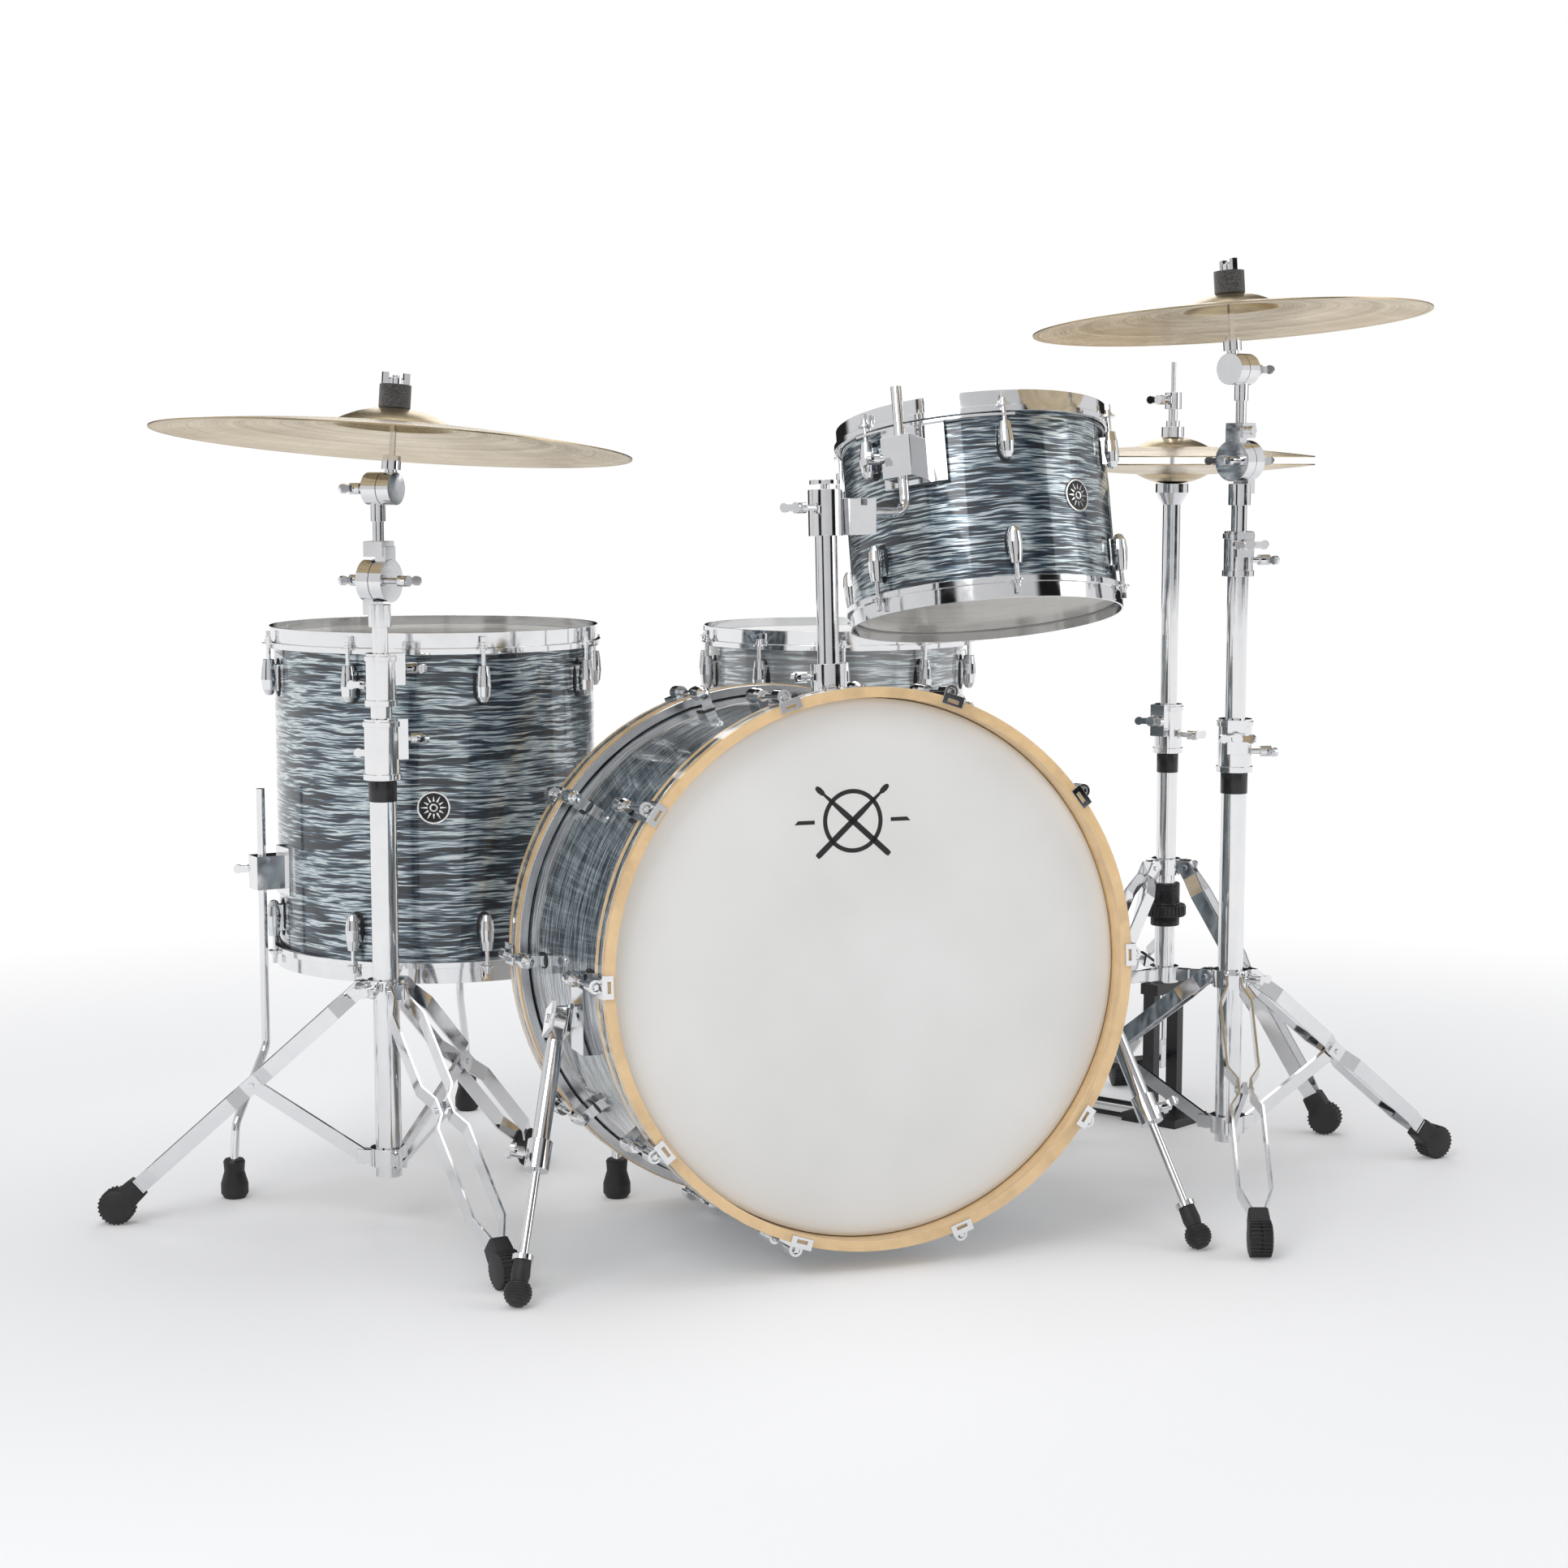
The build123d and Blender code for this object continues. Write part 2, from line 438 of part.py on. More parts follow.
# ---------------------------------------------------------------- floor tom and snare
def floor_tom():
    place = Pos(*FLOOR_PLACE, FLOOR_TOP_Z - HOOP_STAND - FLOOR_DEPTH / 2)
    drum = metal_drum(FLOOR_DIAMETER, FLOOR_DEPTH, FLOOR_LUG_COUNT, FLOOR_LUG_START)
    for piece, node in (("shell", "floor_tom_shell"), ("wrap", "floor_tom_wrap"),
                        ("hoops", "floor_tom_hoops"), ("heads", "floor_tom_heads"),
                        ("lugs", "drum_lugs"), ("rods", "drum_tension_rods")):
        add(node, *[place * s for s in drum[piece]])
    radius = FLOOR_DIAMETER / 2
    at = radius + FLOOR_LEG_OUT
    half = FLOOR_BRACKET_HEIGHT / 2
    centre = Pos(*FLOOR_PLACE, 0)
    for angle, turn in zip(FLOOR_LEG_ANGLES, FLOOR_LEG_TURNS):
        body = block((radius - 6, radius + 8), (-22, 22), (FLOOR_BRACKET_Z - half, FLOOR_BRACKET_Z + half))
        body = body + block((radius + 6, at + 12), (-15, 15),
                            (FLOOR_BRACKET_Z - half + 9, FLOOR_BRACKET_Z + half - 9))
        body = body + Pos(at, -10, FLOOR_BRACKET_Z) * Rot(0, 0, -90) * wing_bolt(22)
        body = body - disc(radius, 0, 800) - Pos(at, 0, 0) * disc(FLOOR_LEG_R + FIT, 0, 800)
        add("floor_tom_brackets", centre * Rot(0, 0, angle) * body)
        # leg: straight rod that bends outwards below the drum and stands on a rubber foot
        line = (Vector(0, 0, FLOOR_LEG_TOP), Vector(0, 0, 178), Vector(70, 0, 92), Vector(76, 0, 36))
        path = FilletPolyline(*line, radius=26)
        leg = sweep(Plane(origin=line[0], z_dir=(0, 0, -1)) * Circle(FLOOR_LEG_R), path=path)
        foot = lathe((0, 0), (13, 0), (17, 6), (17, 18), (12.5, 34), (13.5, 46), (11.5, 49), (0, 49))
        foot = Pos(75.4, 0, 0) * foot
        stand_at = centre * Rot(0, 0, angle) * Pos(at, 0, 0) * Rot(0, 0, turn)
        add("floor_tom_legs", stand_at * leg)
        add("floor_tom_feet", stand_at * (foot - leg))


def snare_drum():
    z = SNARE_TOP_Z - HOOP_STAND - SNARE_DEPTH / 2
    place = Pos(*SNARE_PLACE, z)
    drum = metal_drum(SNARE_DIAMETER, SNARE_DEPTH, SNARE_LUG_COUNT, SNARE_LUG_START)
    for piece, node in (("shell", "snare_shell"), ("wrap", "snare_wrap"), ("hoops", "snare_hoops"),
                        ("heads", "snare_heads"), ("lugs", "drum_lugs"), ("rods", "drum_tension_rods")):
        add(node, *[place * s for s in drum[piece]])
    # basket: hub, three arms and the upturned tips that hold the lower hoop
    bottom = z - SNARE_DEPTH / 2 - HOOP_STAND
    lip = SNARE_DIAMETER / 2 + LIP_OUT
    hub_z = bottom - 62
    basket = disc(20, hub_z - 14, hub_z + 14)
    for angle in (54, 174, 294):
        arm = rod((10, 0, hub_z), (lip - 8, 0, bottom - 9), 6.0)
        tip = block((lip - 26, lip + 9), (-9, 9), (bottom - 15, bottom - 0.5))
        tip = tip + block((lip + 1, lip + 9), (-9, 9), (bottom - 2, bottom + 12))
        basket = basket + Rot(0, 0, angle) * (arm + tip)
    basket = basket + disc(MID_TUBE_R, SNARE_STAND_TOP - 90, hub_z)
    add("snare_basket", Pos(*SNARE_PLACE, 0) * basket)


# ---------------------------------------------------------------- stands
def leg_bars(length):
    """The two bent flat bars of a leg, along +X from the hub pin, spread across Y."""
    pin = BRACE_SHARE * length
    near, wide = HUB_EAR + 0.3 + BAR / 2, 19.0
    centre = [(-BAR_WIDTH / 2, near), (14, near), (40, wide), (pin - 30, wide), (pin - 11, near - 1),
              (pin + 11, near - 1), (pin + 30, wide), (length - 42, wide), (length - 14, 8), (length, 8)]
    outline = [(x, y + BAR / 2) for x, y in centre] + [(x, y - BAR / 2) for x, y in reversed(centre)]
    one = extrude(make_face(Polyline(*outline, close=True)), BAR_WIDTH / 2, both=True)
    square_end = block((-BAR_WIDTH, 0), (0, wide), (-BAR_WIDTH, BAR_WIDTH))
    one = one - (square_end - rod((0, 0, 0), (0, wide, 0), BAR_WIDTH / 2))
    for x in (0, pin):
        one = one - rod((x, 0, 0), (x, wide, 0), PIN_R)
    return [one, mirror(one, about=Plane.XZ)]


def tripod(at, feet, reach, hub_z, collar_z, tube_r):
    """Hub, lower collar, three double-braced legs and rubber feet of one stand."""
    pivot_r = tube_r + PIVOT_OUT
    run, rise = reach - pivot_r, hub_z - FOOT_R
    whole = hypot(run, rise)
    length = whole - FOOT_R - 2
    slope = degrees(atan2(rise, run))
    pin_r = pivot_r + BRACE_SHARE * length * run / whole
    pin_z = hub_z - BRACE_SHARE * length * rise / whole
    bars = leg_bars(length)
    foot = Rot(90, 0, 0) * Cylinder(FOOT_R, FOOT_WIDTH)
    knob_at = whole
    foot = Pos(knob_at, 0, 0) * foot + block((length - 12, knob_at), (-12.5, 12.5), (-14, 14))
    foot = foot - bars[0] - bars[1]
    rivet = rod((0, -BAR_WIDTH / 2 - 2, 0), (0, BAR_WIDTH / 2 + 2, 0), PIN_R)
    brace_line = Vector(pin_r - pivot_r, 0, pin_z - collar_z)
    brace_len = brace_line.length
    brace = block((-7, brace_len + 7), (-BRACE / 2, BRACE / 2), (-BRACE_WIDTH / 2, BRACE_WIDTH / 2))
    brace = brace + Pos(brace_len, 0, 0) * rivet
    hub = ring(tube_r + 6, tube_r, hub_z - 11, hub_z + 11)
    collar = ring(tube_r + 6, tube_r, collar_z - 11, collar_z + 11)
    for angle in feet:
        spoke = Rot(0, 0, angle)
        hub = hub + spoke * block((tube_r + 2, pivot_r + 7), (-HUB_EAR, HUB_EAR), (hub_z - 9, hub_z + 9))
        ear = block((tube_r + 2, pivot_r + 7), (-HUB_EAR, HUB_EAR), (collar_z - 8, collar_z + 8))
        slot = block((tube_r + 6, pivot_r + 10), (-BRACE / 2 - 0.2, BRACE / 2 + 0.2),
                     (collar_z - 12, collar_z + 12))
        brace_turn = -degrees(atan2(brace_line.Z, brace_line.X))
        brace_at = spoke * Pos(pivot_r, 0, collar_z) * Rot(0, brace_turn, 0)
        collar = collar + spoke * (ear - slot) - brace_at * brace
        place = Pos(*at, 0) * spoke * Pos(pivot_r, 0, hub_z) * Rot(0, slope, 0)
        add("stand_legs", *[place * bar for bar in bars])
        pin = rod((0, -BAR_WIDTH / 2 - 3, 0), (0, BAR_WIDTH / 2 + 3, 0), PIN_R)
        hub = hub + spoke * Pos(pivot_r, 0, hub_z) * pin
        add("stand_feet", place * foot)
        add("stand_braces", Pos(*at, 0) * brace_at * brace)
    bore = disc(tube_r, 0, hub_z + 50)
    knob_angle = feet[0] + 60
    knob = Rot(0, 0, knob_angle) * Pos(tube_r + 4, 0, hub_z) * wing_bolt(16, 32)
    add("stand_hubs", Pos(*at, 0) * (hub + knob - bore), Pos(*at, 0) * (collar - bore))


def tube(radius, low, high):
    return ring(radius, radius - TUBE_WALL, low, high)


def clamp_body(lower_r, upper_r, low, high, angle):
    """Height clamp: collar on the lower tube, bush round the upper one, hinge block and wings."""
    outer = lower_r + 5
    body = disc(outer, low, high) + block((0, outer + 9), (-11, 11), (low + 24, high))
    body = body + disc(outer + 1.8, low, low + 7) + disc(outer + 1.8, high - 9, high - 3)
    middle = (low + high) / 2
    body = body + Pos(outer - 2, 0, middle + 12) * wing_bolt(22)
    body = body + Rot(0, 0, 100) * Pos(outer - 2, 0, middle - 8) * wing_bolt(20, 34)
    body = body - disc(lower_r, low - 60, high - 8) - disc(upper_r + FIT, low - 60, high + 60)
    return Rot(0, 0, angle) * body


def stand_column(name, spec):
    """Base tube, clamps, telescoping tubes and both joints of a boom cymbal stand."""
    at = Pos(*spec["at"], 0)
    low, high = spec["clamp"]
    upper_low, upper_high = spec["upper"]
    joint, tilter, face = spec["joint"], spec["tilter"], spec["face"]
    tripod(spec["at"], spec["feet"], spec["reach"], spec["hub"], spec["collar"], BASE_TUBE_R)
    add("stand_base_tubes", at * tube(BASE_TUBE_R, 60, high - 8))
    add("stand_clamps", at * clamp_body(BASE_TUBE_R, MID_TUBE_R, low, high, face + 40))
    sliding = [tube(MID_TUBE_R, low - 190, upper_high - 8),
               clamp_body(MID_TUBE_R, TOP_TUBE_R, upper_low, upper_high, face + 55) -
               disc(MID_TUBE_R, upper_low - 5, upper_high - 8),
               tube(TOP_TUBE_R, upper_low - 80, joint - 34)]
    turn = Rot(0, 0, face)                                  # local X is the joint's axis
    half = rod((-JOINT_HALF - 1, 0, joint), (-0.5, 0, joint), JOINT_R)
    socket = disc(13.5, joint - 54, joint - 28) - disc(TOP_TUBE_R, joint - 60, joint - 34)
    bridge = block((-JOINT_HALF, -2), (-11, 11), (joint - 40, joint - 10))
    tube_end = disc(TOP_TUBE_R, joint - 60, joint - 34)
    knob = Pos(-JOINT_HALF - 2, 0, joint) * Rot(0, 0, 180) * wing_bolt(14, 36)
    lower_half = half + socket + (bridge - tube_end) + knob - rod((-9, 0, joint), (5, 0, joint), 5.3)
    sliding.append(turn * lower_half)
    add(f"{name}_upper_tube", *[at * s for s in sliding])

    # upper half of the ratchet with the clamp of the short boom rod
    half = rod((0.5, 0, joint), (JOINT_HALF + 1, 0, joint), JOINT_R) + rod((-8, 0, joint), (1, 0, joint), 5.0)
    holder = block((-13, 13), (-13, 13), (joint + 28, joint + 46))
    bridge = block((2, JOINT_HALF), (-11, 11), (joint + 10, joint + 40))
    knob = Pos(JOINT_HALF, 0, joint) * wing_bolt(18, 36)
    bolt = rod((0, 13, joint + 37), (0, 20, joint + 37), 5.5)
    boom = disc(BOOM_R, joint + 28, tilter - 30)
    sleeve = disc(8.5, tilter - 38, tilter - 14)
    lower = rod((-12, 0, tilter), (TILTER_SIDE / 2 - 0.5, 0, tilter), TILTER_R)
    knob_top = Pos(-12, 0, tilter) * Rot(0, 0, 180) * wing_bolt(18, 34)
    pin_hole = rod((0, 0, tilter), (TILTER_SIDE, 0, tilter), 5.3)
    upper_half = half + holder + bridge + knob + bolt + boom + sleeve + lower + knob_top - pin_hole
    add(f"{name}_boom", at * turn * upper_half)

    # tilter: side disc, neck, cymbal rod, seat and wing nut along the cymbal's own axis
    cymbal = CYMBALS[name]
    normal = Vector(*cymbal["lean"], 1).normalized()
    hinge = Vector(*spec["at"], tilter)
    side = Vector(*polar(1, face))
    stem_foot = hinge + side * TILTER_SIDE
    rise = (cymbal["top"] - tilter) / normal.Z
    upright = Plane(origin=tuple(stem_foot), z_dir=normal).location
    cap = at * turn * (rod((TILTER_SIDE / 2 + 0.5, 0, tilter), (TILTER_SIDE / 2 + 17, 0, tilter), TILTER_R)
                       + rod((1, 0, tilter), (TILTER_SIDE, 0, tilter), 5.0))
    inside_top = rise - CYMBAL_WALL
    neck = upright * (disc(7, 6, 24) + disc(11, 22, 38) + disc(4.0, 30, rise + 38)
                      + disc(15, inside_top - 9, inside_top - 5))
    nut = upright * (disc(8, rise + 27, rise + 35) + block((-16, -9), (-3.5, 3.5), (rise + 27, rise + 41))
                     + block((9, 16), (-3.5, 3.5), (rise + 27, rise + 41))
                     + block((-14, 14), (-3.5, 3.5), (rise + 27, rise + 33)))
    add(f"{name}_tilter", cap + neck, nut - upright * disc(4.0, 0, rise + 60))
    felt = ring(15, 4.2, inside_top - 5, inside_top - BELL_FALL)
    sleeve = ring(5.6, 4.2, inside_top - BELL_FALL, rise + FIT)
    upper_felt = ring(18.5, 4.2, rise + FIT, rise + 26.8)
    add(f"{name}_felts", upright * felt, upright * sleeve, upright * upper_felt)
    shape = cymbal_shape(cymbal["diameter"] / 2, cymbal["height"], cymbal["bell"], CYMBAL_HOLE)
    add(f"{name}_cymbal", upright * Pos(0, 0, rise) * shape)
    pivots[f"{name}_joint"] = ((*spec["at"], joint), tuple(side))
    pivots[f"{name}_tilter"] = (tuple(hinge), tuple(side))
    pivots[f"{name}_spin"] = (tuple(stem_foot + normal * rise), tuple(normal))


def cymbal_shape(radius, height, bell_r, hole_r):
    """Bowed plate with a raised bell; the top of the bell is at z = 0, the edge below it."""
    bell_height = 0.5 * height
    foot_z, edge_z = -bell_height, -height

    def outline(shift):
        middle = (bell_r + radius) / 2
        bow_z = foot_z + 0.4 * (edge_z - foot_z)
        bell = ThreePointArc((hole_r, shift), (0.6 * bell_r, 0.32 * foot_z + shift), (bell_r, foot_z + shift))
        bow = ThreePointArc((bell_r, foot_z + shift), (middle, bow_z + shift), (radius, edge_z + shift))
        return bell, bow

    top, bottom = outline(0), outline(-CYMBAL_WALL)
    rim = Line((radius, edge_z), (radius, edge_z - CYMBAL_WALL))
    inner = Line((hole_r, 0), (hole_r, -CYMBAL_WALL))
    face = make_face([*top, *bottom, rim, inner])
    return revolve(Plane.XZ * face, Axis.Z)


# ---------------------------------------------------------------- hi-hat
def hi_hat():
    at = Pos(*HAT_AT, 0)
    low, high = HAT_CLAMP
    tripod(HAT_AT, HAT_FEET, HAT_REACH, HAT_HUB, HAT_COLLAR, HAT_TUBE_R)
    add("stand_base_tubes", at * tube(HAT_TUBE_R, HAT_COLLAR - 9, high - 8))
    add("stand_clamps", at * clamp_body(HAT_TUBE_R, HAT_UPPER_R - FIT, low, high, -150))

    # black frame: foot plate, twin posts, yoke, and the spring adjuster on the tube
    turn = Rot(0, 0, PEDAL_ANGLE)                           # local X runs from the stand to the heel
    yoke = block((-14, 14), (-36, 36), (HAT_COLLAR - 26, HAT_COLLAR - 11))
    post_z = (12, HAT_COLLAR - 20)
    posts = block((-9, 9), (-36, -22), post_z) + block((-9, 9), (22, 36), post_z)
    sole = block((-48, 40), (-40, 40), (0, 12))
    frame = yoke + posts + sole - disc(HAT_ROD_R + 2, 0, HAT_COLLAR)
    adjuster = ring(19, HAT_TUBE_R, 275, 334) + ring(27, HAT_TUBE_R, 288, 304)
    heel_x = PEDAL_LENGTH
    heel = block((heel_x - 16, heel_x + 60), (-PEDAL_WIDTH / 2, PEDAL_WIDTH / 2), (0, 8))
    cheeks = block((heel_x - 8, heel_x + 8), (-PEDAL_WIDTH / 2, -PEDAL_WIDTH / 2 + 8), (0, 28))
    cheeks = cheeks + block((heel_x - 8, heel_x + 8), (PEDAL_WIDTH / 2 - 8, PEDAL_WIDTH / 2), (0, 28))
    rails = rod((38, -34, 6), (heel_x - 14, -34, 6), 3.5) + rod((38, 34, 6), (heel_x - 14, 34, 6), 3.5)
    pin = rod((heel_x, -PEDAL_WIDTH / 2, PEDAL_HEEL_Z), (heel_x, PEDAL_WIDTH / 2, PEDAL_HEEL_Z), 3.0)
    add("hihat_frame", at * turn * (frame + heel + cheeks + rails + pin), at * adjuster)

    # footboard, hinged at the heel
    slope = degrees(atan2(PEDAL_TOE_Z - PEDAL_HEEL_Z, heel_x - 12))
    board = block((-(heel_x - 16) / cos(radians(slope)), 6),
                  (-PEDAL_WIDTH / 2 + 9, PEDAL_WIDTH / 2 - 9), (-4, 4))
    pointed = board + rod((0, -PEDAL_WIDTH / 2 + 9, 0), (0, PEDAL_WIDTH / 2 - 9, 0), 7.5)
    pointed = pointed - rod((0, -60, 0), (0, 60, 0), 3.0 + 0.08)
    tongue = block((-(heel_x - 3), -(heel_x - 30)), (-17, 17), (-4, 4))
    slot = block((-heel_x - 20, -heel_x + 22), (-9, 9), (-10, 10))
    footboard = Pos(heel_x, 0, PEDAL_HEEL_Z) * Rot(0, slope, 0) * (pointed + tongue - slot)
    add("hihat_pedal", at * turn * footboard)
    heel_point = at * turn * Pos(heel_x, 0, PEDAL_HEEL_Z)
    pivots["pedal"] = (tuple(heel_point.position), tuple(Vector(*polar(1, PEDAL_ANGLE - 90))))

    # sliding upper tube with the cup that the lower cymbal rests on
    upper = tube(HAT_UPPER_R - FIT, low - 150, HAT_SEAT_Z - 24)
    cup = lathe((HAT_ROD_R + 1.5, HAT_SEAT_Z - 24), (13, HAT_SEAT_Z - 24), (22, HAT_SEAT_Z - 8),
                (22, HAT_SEAT_Z + 4), (HAT_ROD_R + 1.5, HAT_SEAT_Z + 4))
    seat_top = HAT_SEAT_Z + 4
    add("hihat_upper_tube", at * upper, at * cup)
    shape = cymbal_shape(HAT_DIAMETER / 2, HAT_HEIGHT, HAT_BELL, CYMBAL_HOLE)
    lower_edge = seat_top + HAT_HEIGHT
    add("hihat_bottom_cymbal", at * Pos(0, 0, seat_top) * Rot(180, 0, 0) * shape)
    top_edge = lower_edge + HAT_GAP + 2 * CYMBAL_WALL
    bell_top = top_edge + HAT_HEIGHT
    add("hihat_top_cymbal", at * Pos(0, 0, bell_top) * shape)

    # pull rod with its link down to the footboard, and the clutch that holds the upper cymbal
    toe_top = PEDAL_TOE_Z + 2
    link = block((-1.5, 1.5), (-6, 6), (toe_top - 12, toe_top + 28))
    pull = disc(HAT_ROD_R, toe_top + 20, HAT_ROD_TOP)
    add("hihat_rod", at * turn * (pull + link))
    under = bell_top - CYMBAL_WALL
    clutch = ring(5.8, HAT_ROD_R + 0.08, under - 12, bell_top + 60)
    clutch = clutch + ring(10, HAT_ROD_R + 0.08, under - 12, under - 7)
    clutch = clutch + ring(9, HAT_ROD_R + 0.08, bell_top + 14, bell_top + 22)
    clutch = clutch + ring(11, HAT_ROD_R + 0.08, bell_top + 38, bell_top + 60)
    wing = Pos(9, 0, bell_top + 50) * wing_bolt(14, 30) - disc(6, 0, 2000)
    add("hihat_clutch", at * Rot(0, 0, -160) * (clutch + wing),
        at * ring(15, 5.8, bell_top + 0.2, bell_top + 14), at * ring(14, 5.8, under - 7, under - BELL_FALL))
    pivots["hat"] = ((*HAT_AT, bell_top), (0, 0, 1))


def snare_stand():
    tripod(SNARE_PLACE, SNARE_STAND_FEET, SNARE_STAND_REACH, SNARE_STAND_HUB, SNARE_STAND_COLLAR, BASE_TUBE_R)
    at = Pos(*SNARE_PLACE, 0)
    add("stand_base_tubes", at * tube(BASE_TUBE_R, 50, SNARE_STAND_TOP - 8))
    add("stand_clamps", at * clamp_body(BASE_TUBE_R, MID_TUBE_R, SNARE_STAND_TOP - 46, SNARE_STAND_TOP, 20))


# ---------------------------------------------------------------- build and write
bass_drum()
spur("left")
spur("right")
rack_tom(tom_holder())
floor_tom()
snare_drum()
snare_stand()
for stand_name, stand_spec in STANDS.items():
    stand_column(stand_name, stand_spec)
hi_hat()

def whole_box():
    """Exact limits of the kit, from the exact boxes of the outermost solids."""
    rough = [(s, s.bounding_box(optimal=False)) for solids in nodes.values() for s in solids]
    low = [min(tuple(b.min)[i] for _, b in rough) for i in range(3)]
    high = [max(tuple(b.max)[i] for _, b in rough) for i in range(3)]
    outer = [s.bounding_box() for s, b in rough
             if any(tuple(b.min)[i] < low[i] + 3 or tuple(b.max)[i] > high[i] - 3 for i in range(3))]
    return ([min(tuple(b.min)[i] for b in outer) for i in range(3)],
            [max(tuple(b.max)[i] for b in outer) for i in range(3)])


LOW, HIGH = whole_box()
SHIFT = (-(LOW[0] + HIGH[0]) / 2, -(LOW[1] + HIGH[1]) / 2, -LOW[2])
for moved in nodes:
    nodes[moved] = [Pos(*SHIFT) * s for s in nodes[moved]]

os.makedirs("parts", exist_ok=True)
for node_name, solids in nodes.items():
    export_step(Compound(children=solids), f"parts/{node_name}.step")
print(len(nodes), "nodes", sum(len(s) for s in nodes.values()), "solids", "shift", SHIFT, "limits", LOW, HIGH)
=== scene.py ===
"""Finish of a four-piece acoustic drum kit: lathed heads, rubber feet, badges, trim and all materials.

Metres, +Z up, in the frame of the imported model. Lengths in the tables are in millimetres
and measured from the floor point under the middle of the bass drum.
"""
import json
from math import atan2, cos, pi, radians, sin, sqrt

import bmesh
import bpy
from mathutils import Matrix, Vector


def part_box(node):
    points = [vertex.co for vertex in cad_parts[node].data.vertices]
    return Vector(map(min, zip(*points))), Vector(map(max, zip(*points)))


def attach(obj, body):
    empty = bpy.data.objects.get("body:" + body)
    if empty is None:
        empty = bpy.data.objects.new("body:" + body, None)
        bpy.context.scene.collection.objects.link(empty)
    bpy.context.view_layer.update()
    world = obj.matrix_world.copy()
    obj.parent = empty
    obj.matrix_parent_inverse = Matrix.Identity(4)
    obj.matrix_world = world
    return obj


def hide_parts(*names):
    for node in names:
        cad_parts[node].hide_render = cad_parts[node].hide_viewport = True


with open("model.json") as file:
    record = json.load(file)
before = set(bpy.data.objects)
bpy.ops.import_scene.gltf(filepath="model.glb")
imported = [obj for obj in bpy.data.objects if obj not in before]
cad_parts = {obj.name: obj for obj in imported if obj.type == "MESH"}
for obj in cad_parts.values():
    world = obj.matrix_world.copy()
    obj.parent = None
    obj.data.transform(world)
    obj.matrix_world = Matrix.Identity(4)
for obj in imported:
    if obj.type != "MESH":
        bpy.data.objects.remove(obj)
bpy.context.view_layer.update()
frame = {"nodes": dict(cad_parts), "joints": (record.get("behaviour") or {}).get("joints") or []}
NODES = frame["nodes"]
MM = 0.001

BASS_R, BASS_HALF, BASS_TILT = 304.8, 177.8, 86.5
TOM_R, TOM_HALF, TOM_TILT = 165.1, 114.3, -12.7
FLOOR_R, FLOOR_HALF = 203.2, 203.2
SNARE_R, SNARE_HALF = 177.8, 82.55
HOOP_R, HOOP_STAND, HOOP_DEPTH = 318.8, 24.7, 38.0
FILM = 0.8
FLESH_DROP, FLESH_HEIGHT, FLESH_OUT = 9.0, 4.8, 5.4
LUG_MIDDLE = 28.0 + 23.0            # lug middle below the bearing edge of a tom
BASS_LUG_MIDDLE = 52.0 + 23.0
FOOT_R, FOOT_HALF = 22.0, 13.5
STAND_FEET = {                      # place, leg directions, foot circle, hub height, tube radius
    "ride": ((-476.0, 180.0), (159.5, -79.7, 43.0), 328.0, 288.0, 15.875),
    "crash": ((558.0, -3.0), (-112.0, 8.0, 128.0), 335.0, 268.0, 15.875),
    "hihat": ((658.0, 367.0), (-42.0, 78.0, 198.0), 228.0, 357.0, 13.75),
    "snare": ((262.0, 605.0), (-60.0, 60.0, 180.0), 190.0, 215.0, 15.875),
}
PIVOT_OUT = 15.0
TUBE_BANDS = {                      # place, tube radius, lowest and highest point of the black band
    "ride": ((-476.0, 180.0), 15.875, 512.0, 537.5),
    "crash": ((558.0, -3.0), 15.875, 501.0, 527.5),
    "hihat": ((658.0, 367.0), 13.75, 487.0, 513.5),
}
SPUR_FEET = {"left": (-424.0, -217.0), "right": (382.0, -258.0)}
SPUR_BALL = 16.0


def middle_of(node):
    low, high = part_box(node)
    return (low + high) / 2


BASS_MIDDLE = middle_of("bass_shell")
ORIGIN = Vector((BASS_MIDDLE.x, BASS_MIDDLE.y, 0))
PLACES = {
    "bass": Matrix.Translation(BASS_MIDDLE) @ Matrix.Rotation(radians(BASS_TILT), 4, "X"),
    "tom": Matrix.Translation(middle_of("tom_shell")) @ Matrix.Rotation(radians(TOM_TILT), 4, "X"),
    "floor": Matrix.Translation(middle_of("floor_tom_shell")),
    "snare": Matrix.Translation(middle_of("snare_shell")),
}
SCALE = Matrix.Scale(MM, 4)
UPSIDE_DOWN = Matrix.Rotation(pi, 4, "X")


def standing_at(xy, z=0.0):
    """Frame in millimetres on the floor plan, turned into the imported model's frame."""
    return Matrix.Translation(ORIGIN + Vector((xy[0], xy[1], z)) * MM) @ SCALE


